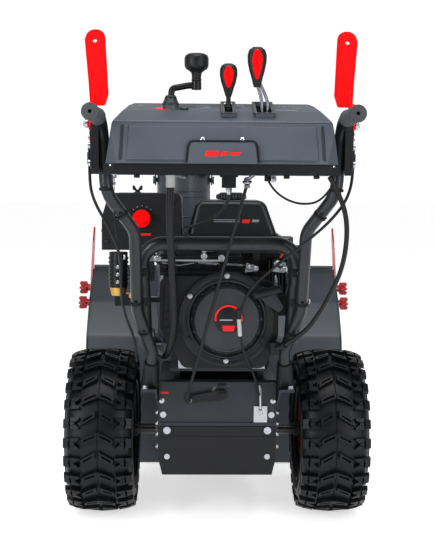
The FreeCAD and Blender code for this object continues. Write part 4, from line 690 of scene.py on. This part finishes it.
# ---- cables ----
def cables():
    """Held cables on their routes, with adjusters and boots at the ends."""
    routes = {
        "left_clutch_cable": (3.0, [
            (-267, -441, 900), (-268, -447, 842), (-262, -452, 790), (-228, -444, 730), (-206, -418, 670),
            (-210, -380, 610), (-208, -330, 540), (-184, -278, 470), (-184, -252, 420)]),
        "right_clutch_cable": (3.0, [
            (267, -441, 900), (268, -447, 842), (256, -452, 790), (220, -452, 744), (176, -438, 704),
            (114, -380, 646), (62, -322, 590), (42, -312, 530), (48, -296, 470), (66, -262, 420),
            (88, -222, 372), (96, -190, 330)]),
        "deflector_cable": (3.0, [
            (20, -404, 837.8), (22, -398, 800), (4, -382, 762), (-32, -360, 738), (-62, -320, 728),
            (-76, -264, 724), (-77, -200, 722), (-76, -120, 722)]),
        "wiring_harness": (5.0, [
            (214, -488, 835), (236, -478, 800), (254, -462, 752), (258, -436, 694), (252, -400, 636),
            (234, -358, 580), (212, -322, 530), (184, -300, 490), (148, -284, 464)]),
    }
    for name, (radius, points) in routes.items():
        cord_curve(name, points, radius, replaced=("control_cables",))
    flex_shaft = [
        (CRANK_X, CRANK_Y, 850), (CRANK_X, CRANK_Y, 812), (-106, -424, 770), (-105, -396, 714),
        (-103, -360, 650), (-100, -318, 580), (-99, -282, 512), (-108, -250, 456), (-121, -206, 424),
        (-128, -146, 414), (-146, -86, 416), (-174, -24, 424), (-192, 42, 424), (-184, 110, 412),
        (-184, 176, 396), (-184, 246, 388)]
    cord_curve("crank_flex_shaft", flex_shaft, 8.0, ("crank_sheath",))
    return_wire = [(-220.5, -441, 808), (-218, -432, 740), (-211, -404, 670), (-210, -380, 612)]
    cord_curve("left_return_wire", return_wire, 1.8)
    throttle = [(96, -414, 830), (104, -414, 812), (134, -410, 788), (170, -410, 778), (206, -430, 786),
                (222, -440, 812)]
    cord_curve("throttle_wire", throttle, 2.2)
    ends = Shape()
    ends.rod((43, -310.5, 527), (46.4, -299, 486), 4.8, chamfer=1)
    ends.rod((96, -190, 352), (97, -184, 334), 3.4, chamfer=0.6)
    ends.done("cable_adjusters", "white_plastic")
    boots = Shape()
    boots.rod((42.3, -313, 548), (43.2, -310, 525), 5.4, chamfer=1)
    boots.rod((148, -284, 464), (126, -262, 452), 9, 7, chamfer=1)
    boots.box((116, -270, 438), (136, -246, 466))
    boots.done("cable_boots", "black_plastic", bevel=1.0)


def straps():
    """Nylon ties that hold the cables against the handle tubes."""
    ties = Shape()
    spots = [
        ((-180.8, -310, 561), (-0.01, 0.46, -0.89)), ((-205, -418, 757), (0.5, 0.5, -0.7)),
        ((180.8, -310, 561), (0.01, 0.46, -0.89)), ((205, -418, 757), (-0.5, 0.5, -0.7)),
        ((-166, -266, 491), (0.27, 0.6, -0.75)), ((166, -266, 491), (-0.27, 0.6, -0.75)),
        ((233.5, -446, 808), DOWN), ((-233.5, -446, 808), DOWN)]
    for place, along in spots:
        ties.lathe(place, along, [(-3, 13.2), (-3, 14.6), (3, 14.6), (3, 13.2), (-3, 13.2)], 32)
        ties.box((place[0] - 4, place[1] - 19, place[2] - 3.5), (place[0] + 4, place[1] - 12, place[2] + 3.5))
    ties.done("cable_ties", "rubber", bevel=0.4)


# ---- engine ----
def starter_face():
    """Badge, screws and rim trim of the recoil starter."""
    ring = Shape()
    ring.lathe((STARTER_X, -246, STARTER_Z), REARWARD, [
        (-1, 88), (-1, 106.6), (1.2, 106.6), (3, 103.5), (3, 99), (0.8, 96), (0.8, 92), (2.6, 89.5),
        (-1, 88)], 96)
    ring.done("starter_ring", "black_plastic", angle=50)
    lip = Shape()
    lip.lathe((STARTER_X, -256, STARTER_Z), REARWARD, [
        (-1.2, 68), (0.9, 68.5), (1.3, 70), (0.6, 71.6), (-1.2, 72)], 96)
    lip.done("starter_lip", "recoil_plastic")
    plate = Shape()
    plate.lathe((BADGE_X, -256, BADGE_Z), REARWARD, [
        (-0.5, 0), (-0.5, 33), (0.9, 33), (1.3, 32.4), (1.3, 0)], 64)
    plate.done("starter_badge", "black_plastic")
    red = Shape()
    turns = [radians(angle) for angle in range(-10, 191, 8)]
    for start, end in zip(turns, turns[1:]):
        corners = [(start, 32), (end, 32), (end, 27), (start, 27)]
        red.plate(-257.2, [(BADGE_X + r * cos(t), BADGE_Z + r * sin(t)) for t, r in corners], -0.8)
    red.plate(-257.2, [(10, 490), (34, 490), (37, 503), (7, 503)], -0.8)
    red.done("starter_badge_red", "label_red")
    bright = Shape()
    bright.box((2, -258.0, 514), (31, -257.0, 517))
    for x, z in ((18, 614), (-65, 568), (102, 567), (17, 421)):
        bright.hexagon((x, -248.6, z), REARWARD, 7.5, 3.5, washer=6)
    bright.done("starter_screws", "zinc", bevel=0.3)
    dark = Shape()
    for x, z in ((-67, 471), (100, 471)):
        dark.hexagon((x, -248.6, z), REARWARD, 7.5, 3.5, washer=6)
    dark.rod((103, -262, 574), (104.5, -270, 577), 8, 6.5, chamfer=1)
    dark.done("starter_dark_screws", "black_plastic", bevel=0.3)


def engine_dressing():
    """Ducts, hoses, linkage, springs and screws around the engine."""
    dark = Shape()
    dark.plate(-229, [
        (-128, 470), (-110, 448), (-97, 462), (-97, 566), (-106, 592), (-124, 588)], -5, taper=0.94)
    for i in range(6):
        dark.box((-123, -236, 476 + 17 * i), (-101, -233, 480 + 17 * i))
    dark.box((-4, -200, 662), (136, -188, 671))
    dark.box((-138, -134, 604), (56, -70, 650))
    dark.box((-96, -128, 650), (52, -66, 686))
    for i in range(7):
        dark.box((-132 + 26 * i, -139, 608), (-120 + 26 * i, -133, 646))
    dark.rod((-118, -136, 662), (-118, -120, 662), 13, chamfer=1.5)
    dark.rod((-118, -142, 662), (-118, -136, 662), 8, chamfer=1)
    dark.box((56, -62, 604), (176, -18, 688))
    dark.tube([
        (-132, -150, 668), (-96, -158, 676), (-60, -158, 668), (-20, -150, 660), (20, -146, 668)], 4.2, 12)
    dark.tube([(64, -70, 676), (104, -100, 672), (140, -110, 660), (168, -96, 640)], 5.0, 12)
    dark.box((-132, -190, 611), (120, -150, 617))
    dark.rod((196, -20, 590), (214, -20, 594), 7, 9, chamfer=1)
    dark.tube([
        (212, -20, 594), (222, -30, 610), (214, -80, 634), (180, -130, 640), (136, -160, 618)], 3.5, 12)
    dark.tube([(150, -190, 560), (158, -200, 590), (152, -205, 622), (128, -190, 640)], 3.0, 12)
    dark.box((134, -214, 520), (168, -176, 566))
    dark.rod((134, -205, 545), (120, -226, 556), 8, 6, chamfer=1)
    dark.tube([(-150, -20, 640), (-166, -60, 655), (-150, -120, 640), (-120, -150, 622)], 4.0, 12)
    dark.box((-176, -118, 590), (-152, -92, 640))
    dark.done("engine_dark_parts", "black_plastic", bevel=1.2)
    bright = Shape()
    bright.box((-158, -204, 643), (20, -201, 647))
    bright.plate(-200, [(-158, 646), (-146, 646), (-150, 668), (-157, 668)], 3)
    bright.plate(-200, [(60, 618), (90, 622), (92, 632), (64, 640)], 3)
    bright.plate(-196, [(124, 620), (160, 616), (154, 640), (130, 648)], 3)
    bright.box((128, -199, 610), (134, -196, 566))
    for x, z in ((-140, 650), (-34, 655), (6, 652), (70, 630), (84, 627), (134, 640), (150, 626), (152, 552),
            (-166, 560)):
        bright.hexagon((x, -203, z), REARWARD, 10, 5, washer=7.5)
    bright.rod((-34, -198, 646), (-34, -198, 672), 4, chamfer=0.8)
    bright.hexagon((-34, -198, 664), UP, 11, 6)
    bright.spring((-54, -206, 641), (2, -206, 637), 3.6, 0.8, 12)
    bright.spring((12, -206, 637), (62, -206, 634), 3.0, 0.7, 11)
    bright.spring((131, -204, 612), (131, -204, 574), 3.4, 0.8, 9)
    bright.tube([(-130, -205, 640), (-90, -208, 634), (-56, -206, 640)], 1.4, 8)
    for x in (-77, 95):
        bright.hexagon((x, -156, 396), REARWARD, 12, 6, washer=9)
        bright.box((x - 16, -155, 386), (x + 16, -146, 406))
    for side in SIDES:
        for z, y in ((628, -329), (560, -302)):
            bright.hexagon((side * 176, y, z), (0, -1, 0.25), 11, 6, washer=8.5)
    bright.hexagon((204, -206, 552), REARWARD, 10, 5, washer=7)
    bright.rod((-222, -118, 640), (-222, -118, 652), 3.2, chamfer=0.5)
    for z in (586, 604, 622):
        bright.hexagon((-238, -120, z), REARWARD, 8, 4)
    bright.done("engine_bright_parts", "zinc", bevel=0.3)
    clamps = Shape()
    for side in SIDES:
        for z, y in ((628, -316), (560, -289)):
            clamps.box((side * 176 - 21, y - 12, z - 9), (side * 176 + 21, y - 6, z + 9))
    clamps.done("hoop_clamps", "black_paint_and_shade", bevel=1.0)
    brass = Shape()
    brass.lathe((-238, -96, 572), DOWN, [(0, 0), (0, 20.6), (6, 19.6), (20, 16.4), (20, 0)], 40)
    brass.rod((-206, -112, 560), (-206, -112, 548), 7, chamfer=1)
    brass.done("starter_drive", "brass", bevel=0.4)
    wire = Shape()
    wire.tube([
        (143, -172, 650), (150, -176, 662), (162, -178, 667), (174, -176, 658), (180, -170, 642)], 2.0, 12)
    wire.done("ignition_wire", "orange_wire")


def hood_and_tank():
    """Labels and fixings of the intake hood and fuel tank, and the ribs of the fuel cap."""
    stripe = Shape()
    stripe.plate(-124.6, [(-198, 697), (-160, 697), (-158, 703), (-196, 703)], -0.8)
    stripe.plate(-104.6, [(56, 727), (74, 727), (76, 736), (58, 736)], -0.8)
    stripe.done("hood_stripe", "label_red")
    lines = Shape()
    for x0, x1, z0, z1 in ((-12, 50, 734, 736), (-12, 50, 729.5, 731.5), (80, 96, 729.5, 736)):
        lines.plate(-104.6, [(x0, z0), (x1, z0), (x1 + 1.5, z1), (x0 + 1.5, z1)], -0.8)
    for i in range(5):
        angle = pi * (0.25 + 0.125 * i)
        x, z = -180 + 29 * cos(angle), 738 + 29 * sin(angle)
        lines.rod((x, -124.4, z), (x, -125.2, z), 1.5, sides=12)
    lines.done("tank_lines", "label_grey")
    dark = Shape()
    dark.lathe((-196, -40, 796), UP, [(0, 0), (0, 11), (2, 11), (3, 6), (9, 5), (9, 0)], 24)
    for side in SIDES:
        dark.plate(-42, [(-196 + side * 3, 800), (-196 + side * 12, 806), (-196 + side * 12, 815),
            (-196 + side * 8, 815), (-196 + side * 2, 806)], 4)
    for x, z in ((-262, 682), (-100, 682), (-104, 780), (-246, 780)):
        dark.hexagon((x, -123.8, z), REARWARD, 8, 3, washer=5.5)
    for x in (-70, 138):
        for y in (-108, 66):
            dark.hexagon((x, y, 696.6), UP, 9, 4, washer=6.5)
    dark.done("hood_fixings", "black_plastic", bevel=0.5)
    rib = Shape()
    for i in range(30):
        angle = 2 * pi * i / 30
        centre = (33 + 35.4 * cos(angle), -20 + 35.4 * sin(angle))
        rib.rod((*centre, 784), (*centre, 793.5), 2.0, sides=10, chamfer=0.4)
    rib.lathe((33, -20, 794.8), UP, [(0, 0), (0, 31), (3.4, 27), (4.4, 26), (4.4, 12), (3.0, 10.5),
        (3.0, 0)], 48)
    rib.done("cap_grip_ribs", "dark_steel", "fuel_cap")


# ---- chassis, handles, housing, chute ----
def chassis_dressing():
    """Bolts, cable bracket and folded edges of the transmission case."""
    bright = Shape()
    bright.box((86, -160.5, 258), (118, -158.5, 297))
    bright.hexagon((102, -160.5, 284), REARWARD, 10, 5, washer=7)
    bright.rod((100, -172, 337), (101.5, -166, 292), 2.8, chamfer=0.5)
    bright.spring((99.6, -174, 350), (100.2, -171, 322), 4.6, 1.0, 8)
    bright.hexagon((-68, -173, 314), REARWARD, 11, 5, washer=8)
    for side in SIDES:
        bright.hexagon((side * 132, -156, 309), REARWARD, 10, 4, washer=7)
        bright.hexagon((side * 144, -60, 300), (side, 0, 0), 12, 6, washer=9)
        bright.hexagon((side * 144, 70, 300), (side, 0, 0), 12, 6, washer=9)
        for z in (196, 226, 252, 278, 322):
            bright.hexagon((side * 141, -140, z), (side, 0, 0), 10, 5, washer=7)
        for y in (-205, -160):
            bright.hexagon((side * 168, y, 349), UP, 11, 6, washer=8)
    bright.done("case_hardware", "zinc", bevel=0.3)
    plate = Shape()
    plate.plate(-157.2, [(-134, 326), (-116, 326), (-116, 331), (-134, 331)], -0.6)
    plate.done("case_label", "label_red")
    folds = Shape()
    for side in SIDES:
        folds.rod((side * 137.4, -157.4, 252), (side * 137.4, -157.4, 352), 2.0, chamfer=0.5)
    folds.rod((-137, -157.4, 353.6), (137, -157.4, 353.6), 2.2, chamfer=0.5)
    folds.done("cover_folds", "case_paint")


def handle_hardware():
    """Lever pins, cable ends, brackets, and rims on the foam grips."""
    bright = Shape()
    for side in SIDES:
        bright.lathe((side * 270.5, -440, 940), (side, 0, 0), [(0, 0), (0, 8.7), (5, 8.7), (6.4, 7),
            (6.4, 0)], 28)
        bright.hexagon((side * 276.6, -440, 940), (side, 0, 0), 10, 3.5)
        bright.rod((side * 271, -440, 911), (side * 262, -440, 911), 3, chamfer=0.5)
        bright.rod((side * 267.4, -441, 902), (side * 267.4, -441, 884), 3.8, chamfer=0.6)
    bright.done("lever_pivots", "zinc", bevel=0.3)
    dark = Shape()
    for side in SIDES:
        dark.rod((side * 267.6, -442, 882), (side * 268, -445, 858), 4.6, 3.8, chamfer=0.6)
        dark.spring((side * 259.5, -474, 926), (side * 259.5, -430, 894), 5.0, 1.0, 9)
        dark.prism([(side * 246, -474, 950), (side * 262, -474, 950), (side * 262, -470, 838),
            (side * 246, -470, 838)], (0, 10, 0), taper=0.9)
    dark.done("lever_brackets", "black_plastic", bevel=1.0)
    rims = Shape()
    for side in SIDES:
        rims.lathe((side * 244.5, -641.6, 950), (0, 1, 0), [(0, 6), (0, 14.2), (1.6, 16.2), (5, 16.4),
            (5, 15.4), (1.2, 14.6), (1.2, 6), (0, 6)], 48)
        rims.lathe((side * 244, -522, 949), (0, 1, 0), [(-3, 15.2), (-2, 17), (2, 17), (3, 13.4),
            (-3, 15.2)], 40)
    rims.done("grip_rims", "foam")


def lever_edges():
    """Folded stiffening rims on the clutch levers."""
    for name, side in (("left", -1), ("right", 1)):
        edge = Shape()
        lean = atan2(60, 162)
        for x0, z0, x1, z1 in ((-269, 8, -286, 152), (-235.5, 28, -247.5, 152)):
            line = []
            for x, z in ((x0, z0), ((x0 + x1) / 2, (z0 + z1) / 2), (x1, z1)):
                line.append((-side * x, -394 + z * sin(lean) - 2.2, 980 + z * cos(lean)))
            edge.tube(line, 1.8, 10)
        edge.done(name + "_lever_edges", "bright_red", name + "_clutch_lever")


def housing_dressing():
    """Labels, bolts, folded edges and bearing flanges of the auger housing."""
    red = Shape()
    for x0, x1 in ((-334, -296), (300, 332)):
        red.prism([(x0, 600.6, 534), (x1, 600.6, 534), (x1, 606.8, 538.4), (x0, 606.8, 538.4)],
            (0, -0.7, 1.0))
    red.done("housing_labels", "label_red")
    bright = Shape()
    for side in SIDES:
        for z in (60, 130, 200):
            bright.hexagon((side * 352, 384.5, z), REARWARD, 11, 5, washer=8)
        for i in range(3):
            bright.hexagon((side * (120 + 90 * i), 408, 3), DOWN, 10, 2.0)
        for turn in range(0, 360, 90):
            y = AUGER_Y + 30 * cos(radians(turn + 45))
            z = AUGER_Z + 30 * sin(radians(turn + 45))
            bright.hexagon((side * 376, y, z), (side, 0, 0), 10, 5, washer=7.5)
    for turn in range(20, 360, 60):
        c, s = cos(radians(turn)), sin(radians(turn))
        bright.hexagon((148 * c, 250, 215 + 148 * s), REARWARD, 10, 5, washer=7.5)
    bright.done("housing_bolts", "zinc", bevel=0.3)
    folds = Shape()
    folds.tube([(-372, 620, 561), (372, 620, 561)], 4.4, 14)
    for side in SIDES:
        folds.tube([(side * 374.6, 735, 10), (side * 374.6, 762, 46), (side * 374.6, 758, 150),
            (side * 374.6, 724, 300), (side * 374.6, 690, 438), (side * 374.6, 646, 546)], 3.4, 12)
        folds.lathe((side * 376, AUGER_Y, AUGER_Z), (side, 0, 0), [
            (0, 22), (0, 46), (2.4, 46), (3.4, 44), (3.4, 24), (0, 22)], 48)
    folds.done("housing_folds", "housing_paint")
    shear = Shape()
    for side in SIDES:
        for x in (110, 230):
            shear.hexagon((side * x, AUGER_Y - 18, AUGER_Z), REARWARD, 11, 5)
    shear.done("shear_bolts", "zinc", "auger", bevel=0.3)


def chute_dressing():
    """Pressed ribs round the back of the chute, and the deflector's hinge bolts."""
    bands = Shape()
    turns = [radians(angle) for angle in range(175, 366, 10)]
    for z in (510, 565, 675, 730, 785):
        bands.tube([(CHUTE_X + 71.4 * cos(turn), CHUTE_Y + 71.4 * sin(turn), z) for turn in turns], 1.8)
    bands.done("chute_bands", "chute_plastic", "chute")
    bolts = Shape()
    for side in SIDES:
        bolts.hexagon((CHUTE_X + side * 76, CHUTE_Y, 830), (side, 0, 0), 13, 6, washer=10)
    bolts.done("deflector_bolts", "zinc", "chute", bevel=0.3)


# ---- camera, light, floor ----
def camera():
    """Looks at the operator's side from a little above the console."""
    yaw, pitch, roll = radians(1.015), radians(4.916), radians(0.395)
    ahead = Vector((sin(yaw) * cos(pitch), cos(yaw) * cos(pitch), -sin(pitch)))
    level = Vector((cos(yaw), -sin(yaw), 0))
    above = level.cross(ahead)
    right = level * cos(roll) + above * sin(roll)
    up = above * cos(roll) - level * sin(roll)
    data = bpy.data.cameras.new("camera")
    data.lens = 66.07
    data.sensor_width = 36.0
    data.clip_end = 60.0
    view = new_object("camera", data)
    place = Matrix((right, up, -ahead)).transposed().to_4x4()
    place.translation = Vector((-0.0426, -2.4517, 0.8204))
    view.matrix_world = place
    bpy.context.scene.camera = view


def area_light(name, place, aim, size, power):
    """A soft box aimed at a point."""
    data = bpy.data.lights.new(name, "AREA")
    data.shape = "RECTANGLE"
    data.size, data.size_y = size
    data.energy = power
    lamp = new_object(name, data)
    lamp.location = place
    lamp.rotation_euler = (Vector(aim) - Vector(place)).to_track_quat("-Z", "Y").to_euler()
    return lamp


def studio():
    """Bright wall ahead of the operator, dimmer room behind, soft boxes and a pale floor."""
    world = bpy.data.worlds.new("studio")
    world.use_nodes = True
    tree, link = world.node_tree, world.node_tree.links.new
    sky = tree.nodes["Background"]
    sky.inputs["Color"].default_value = (1.0, 1.0, 1.0, 1)
    split = add(tree, "SeparateXYZ")
    link(add(tree, "TexCoord").outputs["Generated"], split.inputs["Vector"])
    fade = add(tree, "MapRange", From_Min=0.35, From_Max=0.85, To_Min=0.30, To_Max=1.05)
    fade.interpolation_type = "SMOOTHSTEP"
    link(split.outputs["Y"], fade.inputs["Value"])
    link(fade.outputs["Result"], sky.inputs["Strength"])
    bpy.context.scene.world = world
    lamps = [
        area_light("left_box", (-1.7, -1.9, 1.3), (0, 0, 0.6), (0.5, 1.9), 34),
        area_light("right_box", (1.5, -2.1, 1.2), (0, 0, 0.5), (0.5, 1.9), 26),
        area_light("top_box", (0, -0.9, 2.7), (0, -0.1, 0.6), (1.8, 1.0), 42)]
    mesh = bpy.data.meshes.new("floor")
    mesh.from_pydata([
        (-40, -40, -0.0005), (40, -40, -0.0005), (40, 40, -0.0005), (-40, 40, -0.0005)], [], [(0, 1, 2, 3)])
    floor = new_object("floor", mesh)
    pale = material("floor_white", (0.90, 0.90, 0.90), 0.9, grain=60, bump=0.0, mottle=0.0, specular=0.0)
    shader = pale.node_tree.nodes["Principled BSDF"]
    shader.inputs["Emission Color"].default_value = (1.0, 1.0, 1.0, 1)
    shader.inputs["Emission Strength"].default_value = 0.62
    mesh.materials.append(pale)


dress_cad_nodes()
wheel("left", -1)
wheel("right", 1)
joystick()
speed_lever()
crank_handle()
dashboard()
under_dashboard()
cables()
straps()
starter_face()
engine_dressing()
hood_and_tank()
chassis_dressing()
handle_hardware()
lever_edges()
housing_dressing()
chute_dressing()
camera()
studio()
bpy.context.scene.view_settings.view_transform = "Standard"
bpy.context.scene.view_settings.gamma = 0.86
